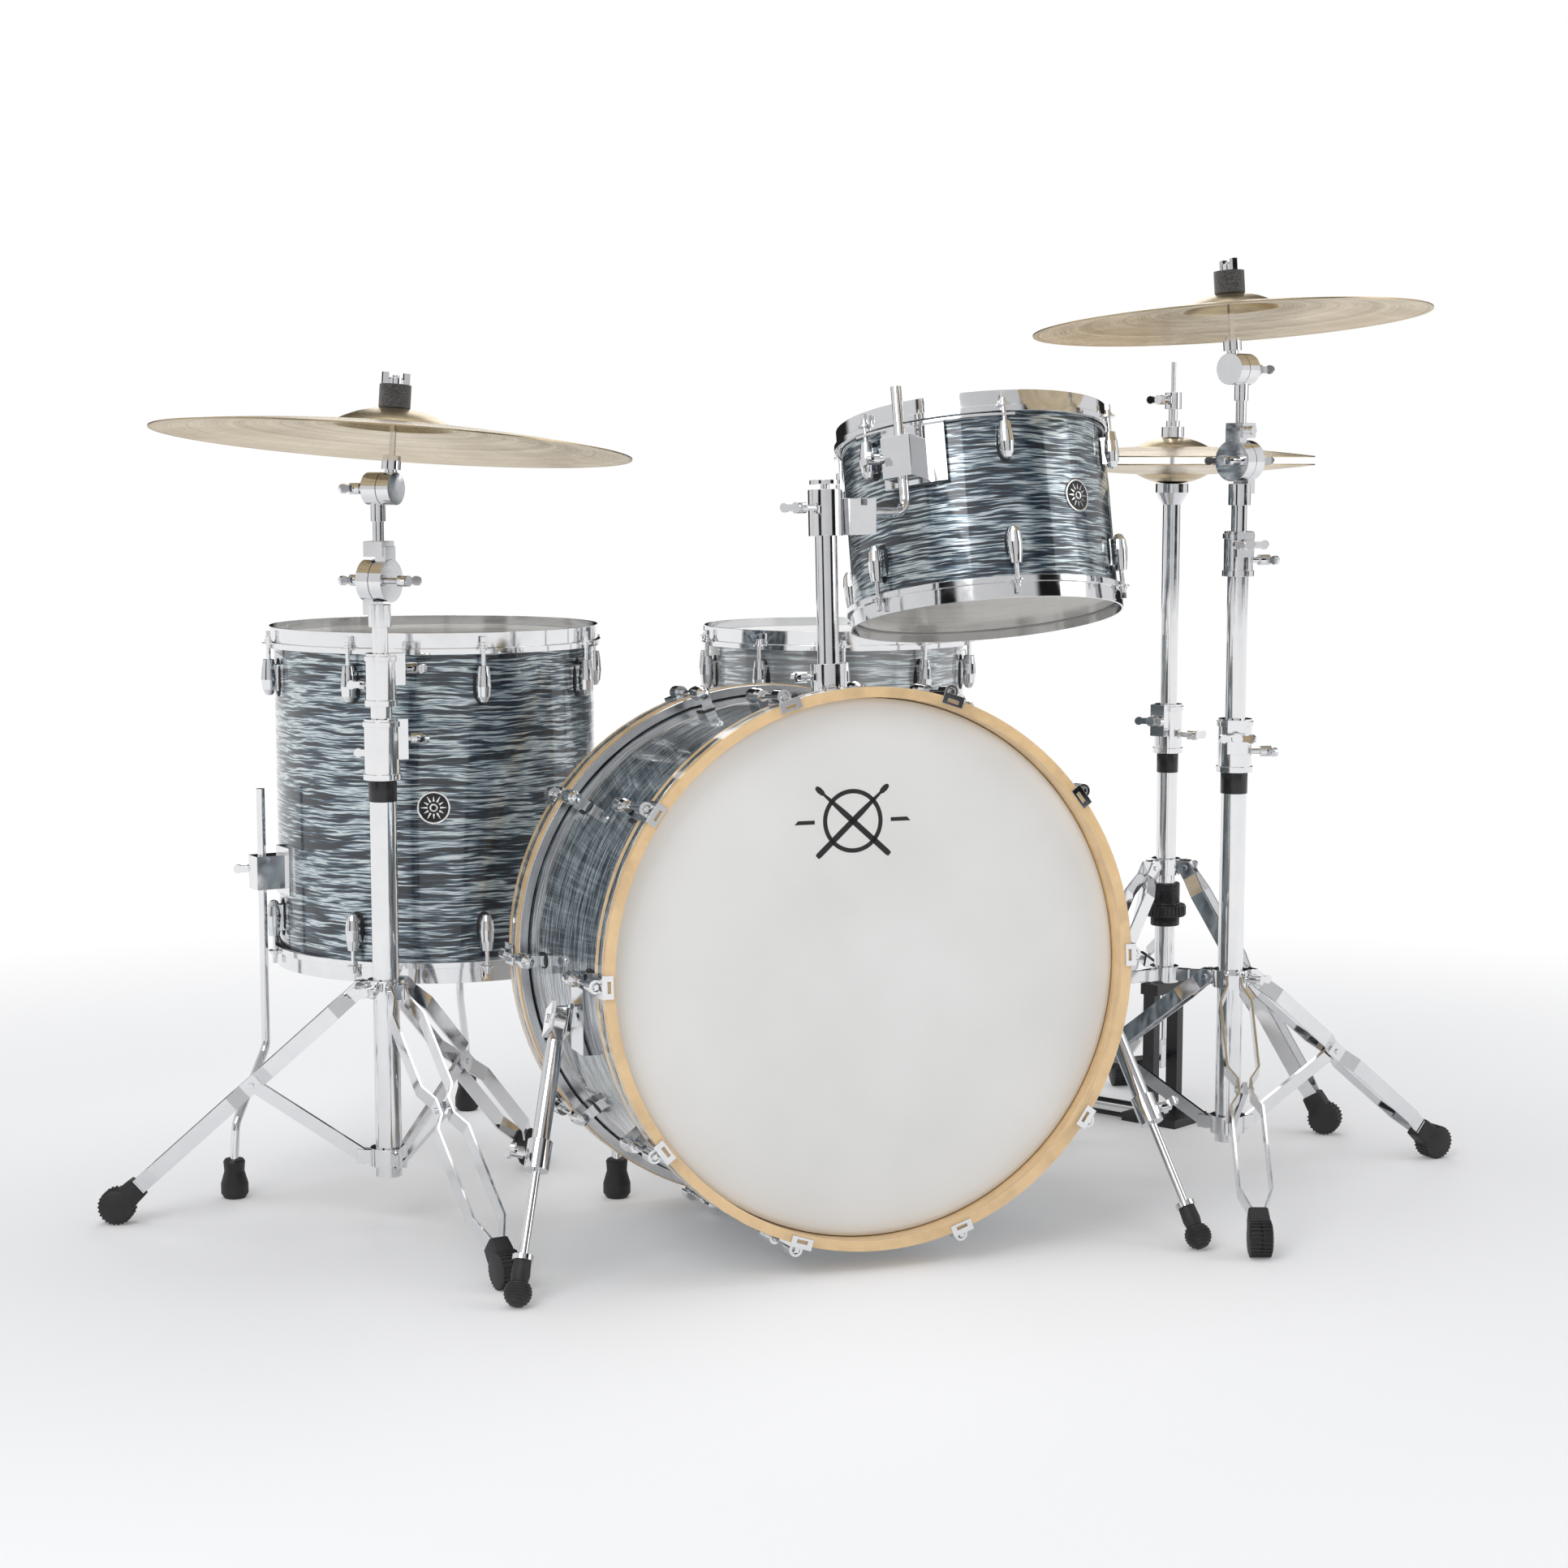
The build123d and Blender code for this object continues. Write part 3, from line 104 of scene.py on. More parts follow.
# ---------------------------------------------------------------- meshes
class Build:
    """Vertices and faces of one piece, gathered in millimetres and placed by a matrix."""

    def __init__(self):
        self.verts, self.faces = [], []

    def add(self, verts, faces, at):
        first = len(self.verts)
        self.verts += [tuple(at @ Vector(v)) for v in verts]
        self.faces += [[first + i for i in f] for f in faces]
        return self

    def lathe(self, profile, steps, at, closed=True):
        """Turn (radius, height) points about Z; a closed profile makes a solid ring."""
        verts, rows = [], []
        for radius, z in profile:
            if radius < 1e-6:
                rows.append([len(verts)] * steps)
                verts.append((0, 0, z))
            else:
                rows.append(range(len(verts), len(verts) + steps))
                verts += [(radius * cos(2 * pi * k / steps), radius * sin(2 * pi * k / steps), z)
                          for k in range(steps)]
        faces = []
        pairs = list(zip(rows, rows[1:]))
        if closed and profile[0][0] > 1e-6:
            pairs.append((rows[-1], rows[0]))
        for a, b in pairs:
            for k in range(steps):
                n = (k + 1) % steps
                face = [a[k], a[n], b[n], b[k]]
                face = [v for i, v in enumerate(face) if v not in face[:i]]
                if len(face) > 2:
                    faces.append(face)
        return self.add(verts, faces, at)

    def loft(self, sections, at):
        """Skin closed sections of equal length, with both ends capped."""
        count = len(sections[0])
        verts = [v for section in sections for v in section]
        faces = [[r * count + k, r * count + (k + 1) % count,
                  (r + 1) * count + (k + 1) % count, (r + 1) * count + k]
                 for r in range(len(sections) - 1) for k in range(count)]
        faces.append(list(range(count))[::-1])
        faces.append([(len(sections) - 1) * count + k for k in range(count)])
        return self.add(verts, faces, at)

    def mesh(self, name):
        mesh = bpy.data.meshes.new(name)
        mesh.from_pydata(self.verts, [], self.faces)
        tidy = bmesh.new()
        tidy.from_mesh(mesh)
        bmesh.ops.remove_doubles(tidy, verts=tidy.verts, dist=1e-6)
        bmesh.ops.recalc_face_normals(tidy, faces=tidy.faces)
        tidy.to_mesh(mesh)
        tidy.free()
        return mesh


def make_piece(name, mesh, material, body, slot, stands_for=(), crease=35.0):
    """Link a finished mesh as a piece that moves with its body."""
    piece = bpy.data.objects.new(name, mesh)
    bpy.context.scene.collection.objects.link(piece)
    mesh.materials.clear()
    mesh.materials.append(material)
    mesh.polygons.foreach_set("use_smooth", [True] * len(mesh.polygons))
    mesh.set_sharp_from_angle(angle=radians(crease))
    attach(piece, body)
    if stands_for:
        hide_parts(*stands_for)
    return piece


def rounded(x, half_y, half_z, corner, arc=4):
    """Rounded rectangle across X."""
    points = []
    for quarter, (sy, sz) in enumerate(((1, 1), (-1, 1), (-1, -1), (1, -1))):
        for k in range(arc + 1):
            a = (quarter + k / arc) * pi / 2
            points.append((x, sy * (half_y - corner) + corner * cos(a),
                           sz * (half_z - corner) + corner * sin(a)))
    return points


def bend_onto(shell_r, angle, z):
    """Map (along, up, out) in millimetres onto a drum shell at an angle and height."""
    def place(along, up, out):
        a = radians(angle) + along / shell_r
        return ((shell_r + out) * cos(a), (shell_r + out) * sin(a), z + up)
    return place


# ---------------------------------------------------------------- repeated parts
def ring_tree():
    """Parts set round a circle about Z and turned to face outwards, realized and painted."""
    tree = bpy.data.node_groups.new("parts_round_a_ring", "GeometryNodeTree")
    face = tree.interface
    for label, kind in (("Geometry", "NodeSocketGeometry"), ("Count", "NodeSocketInt"),
                        ("Radius", "NodeSocketFloat"), ("First angle", "NodeSocketFloat"),
                        ("Part", "NodeSocketObject"), ("Material", "NodeSocketMaterial")):
        face.new_socket(label, in_out="INPUT", socket_type=kind)
    face.new_socket("Geometry", in_out="OUTPUT", socket_type="NodeSocketGeometry")
    node, link = tree.nodes.new, tree.links.new
    given, out = node("NodeGroupInput"), node("NodeGroupOutput")
    points, index = node("GeometryNodePoints"), node("GeometryNodeInputIndex")
    step, turn, spin = node("ShaderNodeMath"), node("ShaderNodeMath"), node("ShaderNodeCombineXYZ")
    full, arm, rotate = node("ShaderNodeMath"), node("ShaderNodeCombineXYZ"), node("ShaderNodeVectorRotate")
    info, instance = node("GeometryNodeObjectInfo"), node("GeometryNodeInstanceOnPoints")
    real, paint = node("GeometryNodeRealizeInstances"), node("GeometryNodeSetMaterial")
    full.operation, step.operation, turn.operation = "DIVIDE", "MULTIPLY", "ADD"
    full.inputs[0].default_value = 2 * pi
    link(given.outputs["Count"], full.inputs[1])
    link(full.outputs[0], step.inputs[0])
    link(index.outputs[0], step.inputs[1])
    link(step.outputs[0], turn.inputs[0])
    link(given.outputs["First angle"], turn.inputs[1])
    link(turn.outputs[0], spin.inputs["Z"])
    link(given.outputs["Radius"], arm.inputs["X"])
    rotate.rotation_type = "Z_AXIS"
    link(arm.outputs[0], rotate.inputs["Vector"])
    link(turn.outputs[0], rotate.inputs["Angle"])
    link(given.outputs["Count"], points.inputs["Count"])
    link(rotate.outputs[0], points.inputs["Position"])
    link(given.outputs["Part"], info.inputs["Object"])
    link(points.outputs[0], instance.inputs["Points"])
    link(info.outputs["Geometry"], instance.inputs["Instance"])
    link(spin.outputs[0], instance.inputs["Rotation"])
    link(instance.outputs[0], real.inputs[0])
    link(real.outputs[0], paint.inputs["Geometry"])
    link(given.outputs["Material"], paint.inputs["Material"])
    link(paint.outputs[0], out.inputs[0])
    return tree


RING_TREE = ring_tree()


def round_a_ring(part_mesh, count, radius, first_angle, material):
    """Mesh of a part repeated round a circle, in millimetres."""
    part = bpy.data.objects.new("pattern_part", part_mesh)
    host = bpy.data.objects.new("pattern_host", bpy.data.meshes.new("pattern_host"))
    for o in (part, host):
        bpy.context.scene.collection.objects.link(o)
    repeat = host.modifiers.new("ring", "NODES")
    repeat.node_group = RING_TREE
    values = {"Count": count, "Radius": radius, "First angle": radians(first_angle),
              "Part": part, "Material": material}
    for socket in RING_TREE.interface.items_tree:
        if socket.in_out == "INPUT" and socket.name in values:
            repeat[socket.identifier] = values[socket.name]
    graph = bpy.context.evaluated_depsgraph_get()
    mesh = bpy.data.meshes.new_from_object(host.evaluated_get(graph))
    host.modifiers.remove(repeat)
    for o in (part, host):
        bpy.data.objects.remove(o)
    return mesh


def gather(parts):
    """One mesh from (mesh, matrix) pairs."""
    joined = bmesh.new()
    for mesh, at in parts:
        copy = mesh.copy()
        copy.transform(at)
        joined.from_mesh(copy)
        bpy.data.meshes.remove(copy)
    whole = bpy.data.meshes.new("gathered")
    bmesh.ops.recalc_face_normals(joined, faces=joined.faces)
    joined.to_mesh(whole)
    joined.free()
    return whole


# ---------------------------------------------------------------- materials
class Finish:
    """A node material with its Principled shader, and short calls for the nodes it needs."""

    def __init__(self, name, colour=(0.8, 0.8, 0.8), roughness=0.5, metallic=0.0, coat=0.0, ior=1.5):
        self.material = bpy.data.materials.new(name)
        self.material.use_nodes = True
        self.nodes, self.links = self.material.node_tree.nodes, self.material.node_tree.links
        self.shader = self.nodes["Principled BSDF"]
        for socket, value in (("Base Color", (*colour, 1)), ("Roughness", roughness),
                              ("Metallic", metallic), ("Coat Weight", coat), ("IOR", ior),
                              ("Coat Roughness", 0.04)):
            self.shader.inputs[socket].default_value = value
        self.place = self.nodes.new("ShaderNodeTexCoord").outputs["Object"]

    def node(self, kind, inputs=(), **settings):
        made = self.nodes.new("ShaderNode" + kind)
        for key, value in settings.items():
            setattr(made, key, value)
        for key, value in dict(inputs).items():
            if isinstance(value, bpy.types.NodeSocket):
                self.links.new(value, made.inputs[key])
            else:
                made.inputs[key].default_value = value
        return made

    def frame_of(self, matrix):
        """Coordinates in a drum's own frame: its axis is Z and its middle the origin."""
        location, rotation, _ = matrix.decompose()
        return self.node("Mapping", {"Vector": self.place, "Location": location,
                                     "Rotation": rotation.to_euler()}, vector_type="TEXTURE").outputs[0]

    def stretched(self, vector, scale):
        return self.node("Mapping", {"Vector": vector, "Scale": scale}).outputs[0]

    def noise(self, vector, scale=1.0, detail=3.0, rough=0.5, warp=0.0):
        return self.node("TexNoise", {"Vector": vector, "Scale": scale, "Detail": detail,
                                      "Roughness": rough, "Distortion": warp}).outputs["Fac"]

    def ramp(self, value, *stops):
        ramp = self.node("ValToRGB", {"Fac": value})
        while len(ramp.color_ramp.elements) < len(stops):
            ramp.color_ramp.elements.new(0.5)
        for element, (at, colour) in zip(ramp.color_ramp.elements, stops):
            element.position = at
            element.color = (*colour, 1) if isinstance(colour, tuple) else (colour, colour, colour, 1)
        return ramp.outputs[0]

    def math(self, operation, a, b=0.0):
        return self.node("Math", {0: a, 1: b}, operation=operation).outputs[0]

    def mix(self, factor, a, b, blend="MIX"):
        mix = self.node("Mix", data_type="RGBA", blend_type=blend)
        for index, value in ((0, factor), (6, a), (7, b)):
            if isinstance(value, bpy.types.NodeSocket):
                self.links.new(value, mix.inputs[index])
            else:
                mix.inputs[index].default_value = value
        return mix.outputs[2]

    def bump(self, height, strength, distance, normal=None):
        inputs = {"Height": height, "Strength": strength, "Distance": distance}
        if normal is not None:
            inputs["Normal"] = normal
        return self.node("Bump", inputs).outputs[0]

    def use(self, **sockets):
        for key, value in sockets.items():
            self.links.new(value, self.shader.inputs[key.replace("_", " ")])
        return self.material


def pearl(name, place, pale=0.0):
    """Oyster pearl wrap: silver and navy streaks that run round the shell under clear gloss."""
    f = Finish(name, roughness=0.22, metallic=0.25, coat=1.0)
    own = f.frame_of(place)
    drift = f.noise(own, 16.0, 2.0)
    lift = f.node("CombineXYZ", {"Z": f.math("MULTIPLY", f.math("SUBTRACT", drift, 0.5), 0.008)}).outputs[0]
    warped = f.node("VectorMath", {0: own, 1: lift}, operation="ADD").outputs[0]
    streaks = f.noise(f.stretched(warped, (19, 19, 330)), 1.0, 2.0, 0.45, 0.25)
    fine = f.noise(f.stretched(warped, (30, 30, 760)), 1.0, 2.0, 0.5, 0.2)
    clusters = f.noise(f.stretched(own, (7, 7, 44)), 1.0, 2.0)
    value = f.math("ADD", f.math("MULTIPLY", streaks, 0.66), f.math("MULTIPLY", fine, 0.34))
    value = f.math("ADD", value, f.math("MULTIPLY", f.math("SUBTRACT", clusters, 0.5), 0.26))
    dark, deep, steel, silver = ((0.004, 0.007, 0.014), (0.012, 0.026, 0.046),
                                 (0.115, 0.18, 0.235), (0.70, 0.77, 0.78))
    if pale:
        dark, deep, steel, silver = [tuple(c + (1 - c) * pale * 0.75 for c in tone)
                                     for tone in (dark, deep, steel, silver)]
    colour = f.ramp(value, (0.42, dark), (0.47, deep), (0.515, steel), (0.575, silver), (0.66, steel))
    metal = f.ramp(value, (0.42, 0.10), (0.58, 0.65))
    return f.use(Base_Color=colour, Metallic=metal,
                 Roughness=f.ramp(value, (0.4, 0.34), (0.6, 0.2)))


def wood(name, place, tone=(0.80, 0.56, 0.30), gloss=0.7):
    """Maple under lacquer, its grain running round the drum."""
    f = Finish(name, roughness=0.3, coat=gloss)
    own = f.frame_of(place)
    grain = f.noise(f.stretched(own, (9, 9, 420)), 1.0, 4.0, 0.6, 0.3)
    flame = f.noise(f.stretched(own, (46, 46, 30)), 1.0, 2.0)
    value = f.math("ADD", f.math("MULTIPLY", grain, 0.7), f.math("MULTIPLY", flame, 0.3))
    dark = tuple(c * 0.72 for c in tone)
    light = tuple(min(1.0, c * 1.14) for c in tone)
    colour = f.ramp(value, (0.32, dark), (0.5, tone), (0.68, light))
    return f.use(Base_Color=colour, Normal=f.bump(grain, 0.12, 0.0004),
                 Roughness=f.ramp(grain, (0.3, 0.42), (0.7, 0.26)))


def chrome(name="chrome", tone=0.80, low=0.035, high=0.13):
    """Bright plating with faint handling marks and softened edges."""
    f = Finish(name, (tone, tone * 1.005, tone * 1.02), 0.07, 1.0)
    haze = f.noise(f.place, 38.0, 4.0, 0.6)
    fine = f.noise(f.place, 900.0, 2.0)
    tint = f.ramp(haze, (0.3, (tone * 0.93, tone * 0.94, tone * 0.96)), (0.7, (tone, tone, tone * 1.01)))
    edge = f.node("Bevel", {"Radius": 0.0008}, samples=3).outputs[0]
    return f.use(Base_Color=tint, Roughness=f.ramp(haze, (0.35, low), (0.75, high)),
                 Normal=f.bump(fine, 0.015, 0.0003, edge))


def black(name, colour=(0.012, 0.012, 0.013), low=0.3, high=0.55, grain=420.0, depth=0.00015, metallic=0.0):
    """Moulded rubber, plastic or painted metal with a fine texture."""
    f = Finish(name, colour, 0.45, metallic)
    fine, broad = f.noise(f.place, grain, 3.0, 0.6), f.noise(f.place, 24.0, 3.0)
    worn = tuple(c * 2.4 + 0.01 for c in colour)
    return f.use(Base_Color=f.ramp(broad, (0.4, colour), (0.8, worn)),
                 Roughness=f.ramp(broad, (0.3, low), (0.7, high)), Normal=f.bump(fine, 0.35, depth))


def felt():
    """Dense grey wool felt with lighter fibres."""
    f = Finish("felt", (0.05, 0.05, 0.055), 0.95)
    f.shader.inputs["Sheen Weight"].default_value = 0.5
    fibres = f.noise(f.stretched(f.place, (500, 500, 900)), 1.0, 4.0, 0.7, 0.8)
    clumps = f.noise(f.place, 210.0, 3.0)
    colour = f.ramp(fibres, (0.38, (0.018, 0.018, 0.020)), (0.55, (0.075, 0.077, 0.08)),
                    (0.74, (0.30, 0.30, 0.30)))
    return f.use(Base_Color=colour, Normal=f.bump(f.math("ADD", fibres, clumps), 0.8, 0.0009))


def bronze(name, centre, axis):
    """Lathed cymbal bronze: fine grooves round the bell, cloudy patina and soft hammer marks."""
    f = Finish(name, (0.60, 0.47, 0.29), 0.26, 1.0)
    f.shader.inputs["Anisotropic"].default_value = 0.65
    out = f.node("VectorMath", {0: f.place, 1: centre}, operation="SUBTRACT").outputs[0]
    along = f.node("VectorMath", {0: out, 1: axis}, operation="CROSS_PRODUCT").outputs[0]
    radius = f.node("VectorMath", {0: along}, operation="LENGTH").outputs[1]
    rings = f.node("CombineXYZ", {"X": f.math("MULTIPLY", radius, 520.0)}).outputs[0]
    wide = f.node("CombineXYZ", {"X": f.math("MULTIPLY", radius, 60.0)}).outputs[0]
    groove, band = f.noise(rings, 1.0, 3.0, 0.65), f.noise(wide, 1.0, 2.0)
    cloud, hammer = f.noise(f.place, 11.0, 4.0, 0.6), f.noise(f.place, 34.0, 1.0)
    value = f.math("ADD", f.math("MULTIPLY", groove, 0.45),
                   f.math("ADD", f.math("MULTIPLY", band, 0.3), f.math("MULTIPLY", cloud, 0.25)))
    colour = f.ramp(value, (0.36, (0.34, 0.255, 0.145)), (0.5, (0.52, 0.41, 0.25)),
                    (0.64, (0.72, 0.60, 0.40)))
    rough = f.ramp(value, (0.35, 0.36), (0.65, 0.20))
    relief = f.bump(groove, 0.30, 0.0005, f.bump(hammer, 0.16, 0.003))
    return f.use(Base_Color=colour, Roughness=rough, Normal=relief, Tangent=along)


def coated_film():
    """Sprayed white coating on polyester film."""
    f = Finish("coated_film", (0.80, 0.80, 0.785), 0.48)
    grain, cloud = f.noise(f.place, 1500.0, 2.0), f.noise(f.place, 5.0, 3.0)
    colour = f.ramp(cloud, (0.3, (0.76, 0.76, 0.745)), (0.7, (0.83, 0.83, 0.82)))
    return f.use(Base_Color=colour, Normal=f.bump(grain, 0.18, 0.0002),
                 Roughness=f.ramp(grain, (0.3, 0.42), (0.7, 0.56)))


def clear_film():
    """Clear polyester film, a little hazy."""
    f = Finish("clear_film", (0.86, 0.88, 0.88), 0.12)
    f.shader.inputs["Alpha"].default_value = 0.34
    haze = f.noise(f.place, 18.0, 3.0)
    return f.use(Base_Color=f.ramp(haze, (0.3, (0.80, 0.82, 0.83)), (0.7, (0.90, 0.91, 0.91))),
                 Roughness=f.ramp(haze, (0.3, 0.08), (0.7, 0.2)))


def painted(name, colour, low=0.35, high=0.6):
    """Smooth lacquer or ink with slight unevenness."""
    f = Finish(name, colour, 0.5)
    cloud = f.noise(f.place, 60.0, 3.0)
    faded = tuple(c * 0.86 + 0.006 for c in colour)
    return f.use(Base_Color=f.ramp(cloud, (0.35, faded), (0.65, colour)),
                 Roughness=f.ramp(cloud, (0.3, low), (0.7, high)))


CHROME = chrome()
SATIN = chrome("satin_aluminium", 0.72, 0.16, 0.3)
RUBBER = black("rubber", (0.010, 0.010, 0.011), 0.42, 0.68, 520.0, 0.0002)
BLACK = black("black_frame", (0.010, 0.010, 0.012), 0.22, 0.42, 700.0, 0.0001)
FELT = felt()
COATED, CLEAR = coated_film(), clear_film()
INK = painted("black_ink", (0.010, 0.010, 0.010))
WRAPS = {"bass": pearl("bass_pearl", PLACES["bass"]), "tom": pearl("tom_pearl", PLACES["tom"]),
         "floor": pearl("floor_pearl", PLACES["floor"]), "snare": pearl("snare_pearl", PLACES["snare"], 0.35)}
WOODS = {key: wood(key + "_maple", place, (0.74, 0.68, 0.58), 0.3) for key, place in PLACES.items()}
HOOP_WOOD = wood("hoop_maple", PLACES["bass"])
SPIN = {j["name"]: j for j in frame["joints"]}


def cymbal_bronze(name, joint):
    return bronze(name, tuple(SPIN[joint]["pos_m"]), tuple(SPIN[joint]["axis"]))


HAT_BRONZE = bronze("hihat_bronze", tuple(ORIGIN + Vector((0.658, 0.367, 0.9))), (0, 0, 1))
PAINT = {
    "bass_shell": WOODS["bass"], "tom_shell": WOODS["tom"], "floor_tom_shell": WOODS["floor"],
    "snare_shell": WOODS["snare"], "bass_wrap": WRAPS["bass"], "tom_wrap": WRAPS["tom"],
    "floor_tom_wrap": WRAPS["floor"], "snare_wrap": WRAPS["snare"], "bass_hoops": HOOP_WOOD,
    "ride_cymbal": cymbal_bronze("ride_bronze", "ride_cymbal_spin"),
    "crash_cymbal": cymbal_bronze("crash_bronze", "crash_cymbal_spin"),
    "hihat_top_cymbal": HAT_BRONZE, "hihat_bottom_cymbal": HAT_BRONZE,
    "ride_felts": FELT, "crash_felts": FELT, "floor_tom_feet": RUBBER,
    "hihat_frame": BLACK, "hihat_pedal": BLACK,
}
for node_name, node in NODES.items():
    node.data.materials.clear()
    node.data.materials.append(PAINT.get(node_name, CHROME))


# ---------------------------------------------------------------- drum heads
def head_profile(radius, half, film_r, flesh_top, wall=FILM):
    """Film with its collar: flat, rolled over the bearing edge, then down to the flesh hoop."""
    outer = [(0, half + wall), (radius - 14, half + wall), (radius - 6, half + wall - 0.1),
             (radius - 2, half + wall - 0.8), (radius + 0.9, half - 2.6), (film_r, flesh_top)]
    inner = [(film_r - wall, flesh_top), (radius + 0.25, half - 2.4), (radius - 2.4, half - 0.1),
             (radius - 6, half), (0, half)]
    return outer + inner


def flesh_profile(inside, outside, low, high):
    """Metal flesh hoop with rounded corners."""
    c = 0.8
    return [(inside, low), (outside - c, low), (outside, low + c), (outside, high - c),
            (outside - c, high), (inside, high)]


def head_set(key, radius, half, film_out, flesh_out, flesh_top, node, body, materials, slots):
    films = []
    rings = Build()
    for end, turn in (("upper", Matrix.Identity(4)), ("lower", UPSIDE_DOWN)):
        at = PLACES[key] @ SCALE @ turn
        film = Build().lathe(head_profile(radius, half, film_out, flesh_top), 144, at)
        rings.lathe(flesh_profile(film_out - 0.6, flesh_out, flesh_top - FLESH_HEIGHT, flesh_top), 144, at)
        number = 0 if end == "upper" else 1
        films.append(make_piece(f"{key}_{end}_film", film.mesh(f"{key}_{end}_film"), materials[number],
                                body, slots[number], (node,)))
    make_piece(f"{key}_flesh_hoops", rings.mesh(f"{key}_flesh_hoops"), SATIN, body, "chrome", (node,))
    return films


head_set("bass", BASS_R, BASS_HALF, BASS_R + 2.4, HOOP_R - 1.5, BASS_HALF + HOOP_STAND - HOOP_DEPTH,
         "bass_heads", "kit", (COATED, COATED), ("coated_film", "coated_film"))
for key, radius, half, node, body in (("tom", TOM_R, TOM_HALF, "tom_heads", "rack_tom"),
                                      ("floor", FLOOR_R, FLOOR_HALF, "floor_tom_heads", "kit"),
                                      ("snare", SNARE_R, SNARE_HALF, "snare_heads", "kit")):
    top = (COATED, "coated_film") if key == "snare" else (CLEAR, "clear_film")
    head_set(key, radius, half, radius + 2.2, radius + FLESH_OUT, half - FLESH_DROP, node, body,
             (top[0], CLEAR), (top[1], "clear_film"))


# ---------------------------------------------------------------- drum trim
def gasket_part(shell_r, length=48.0, width=19.0):
    """Thin teardrop gasket lying on a shell at +X, its wide end down."""
    lift = bend_onto(shell_r, 0, 0)
    outline = []
    for k in range(28):
        a = 2 * pi * k / 28
        narrow = 1.0 + 0.22 * -sin(a)
        outline.append((width / 2 * cos(a) * narrow, length / 2 * sin(a)))
    sections = [[lift(u * s, v * s, out) for u, v in outline]
                for s, out in ((1.0, -0.3), (1.0, 0.9), (0.93, 1.5))]
    shifted = [[(x - shell_r, y, z) for x, y, z in section] for section in sections]
    return Build().loft(shifted, Matrix.Identity(4)).mesh("gasket")


def gaskets(name, key, radius, rows, count, body):
    """Gaskets under all lugs of one drum: rows of (height, first angle, upside down)."""
    part = gasket_part(radius)
    parts = []
    for z, first, flipped in rows:
        ring = round_a_ring(part, count, radius, first, RUBBER)
        turn = UPSIDE_DOWN if flipped else Matrix.Identity(4)
        parts.append((ring, PLACES[key] @ SCALE @ turn @ Matrix.Translation((0, 0, z))))
    make_piece(name, gather(parts), RUBBER, body, "rubber")


gaskets("bass_lug_gaskets", "bass", BASS_R, ((BASS_HALF - BASS_LUG_MIDDLE, 108.0, False),
                                             (BASS_HALF - BASS_LUG_MIDDLE, 108.0 - 36.0, True)), 10, "kit")
gaskets("tom_lug_gaskets", "tom", TOM_R, ((TOM_HALF - LUG_MIDDLE, -101.1, False),
                                          (TOM_HALF - LUG_MIDDLE, 101.1, True)), 6, "rack_tom")
gaskets("floor_tom_lug_gaskets", "floor", FLOOR_R, ((FLOOR_HALF - LUG_MIDDLE, -87.6, False),
                                                    (FLOOR_HALF - LUG_MIDDLE, 87.6, True)), 8, "kit")
gaskets("snare_lug_gaskets", "snare", SNARE_R, ((SNARE_HALF - LUG_MIDDLE, 0.0, False),), 10, "kit")

inlay = Build()
hoop_back = BASS_HALF + HOOP_STAND - HOOP_DEPTH
for turn in (Matrix.Identity(4), UPSIDE_DOWN):
    at = PLACES["bass"] @ SCALE @ turn
    inlay.lathe(flesh_profile(HOOP_R - 0.6, HOOP_R + 0.35, hoop_back + 12.0, hoop_back + 26.0), 144, at)
make_piece("bass_hoop_inlays", inlay.mesh("bass_hoop_inlays"), WRAPS["bass"], "kit", "pearl_wrap")


def badge(name, key, radius, angle, z, body):
    """Round vent badge bent onto the shell: silver rim, black field, sunburst and grommet."""
    at = PLACES[key] @ SCALE
    lift = bend_onto(radius, angle, z)

    def rows(build, profile, steps=64):
        sections = [[lift(r * cos(2 * pi * k / steps), r * sin(2 * pi * k / steps), out)
                     for k in range(steps)] for r, out in profile]
        return build.loft(sections, at)

    def closed_ring(build, loop, steps):
        """Ring whose section is the closed loop of (radius, height) points."""
        count = len(loop)
        verts = [lift(r * cos(2 * pi * k / steps), r * sin(2 * pi * k / steps), out)
                 for r, out in loop for k in range(steps)]
        build.add(verts, [[i * steps + k, i * steps + (k + 1) % steps,
                           (i + 1) % count * steps + (k + 1) % steps, (i + 1) % count * steps + k]
                          for i in range(count) for k in range(steps)], at)

    field = rows(Build(), ((18.6, -0.5), (18.6, 1.2), (6.0, 1.5), (2.0, 1.5)))
    rim = Build()
    closed_ring(rim, [(20.2, -0.5), (20.2, 1.4), (19.6, 1.9), (18.4, 1.9), (17.8, 1.4), (17.8, -0.5)], 64)
    for ray in range(12):
        a = 2 * pi * ray / 12
        inner, outer = 7.6, 13.6 if ray % 2 else 15.6
        flat = [(inner, -1.3), (outer, -0.3), (outer, 0.3), (inner, 1.3)]
        sections = [[lift(r * cos(a) - w * sin(a), r * sin(a) + w * cos(a), out) for r, w in flat]
                    for out in (1.2, 1.75)]
        rim.loft(sections, at)
    closed_ring(rim, [(5.2, 1.0), (5.2, 2.2), (4.4, 2.7), (3.0, 2.4), (2.6, 1.0)], 32)
    make_piece(name + "_field", field.mesh(name + "_field"), INK, body, "black_frame")
    make_piece(name + "_rim", rim.mesh(name + "_rim"), CHROME, body, "chrome")


badge("tom_badge", "tom", TOM_R, -67.1, 0.0, "rack_tom")
badge("floor_tom_badge", "floor", FLOOR_R, -104.5, 2.0, "kit")


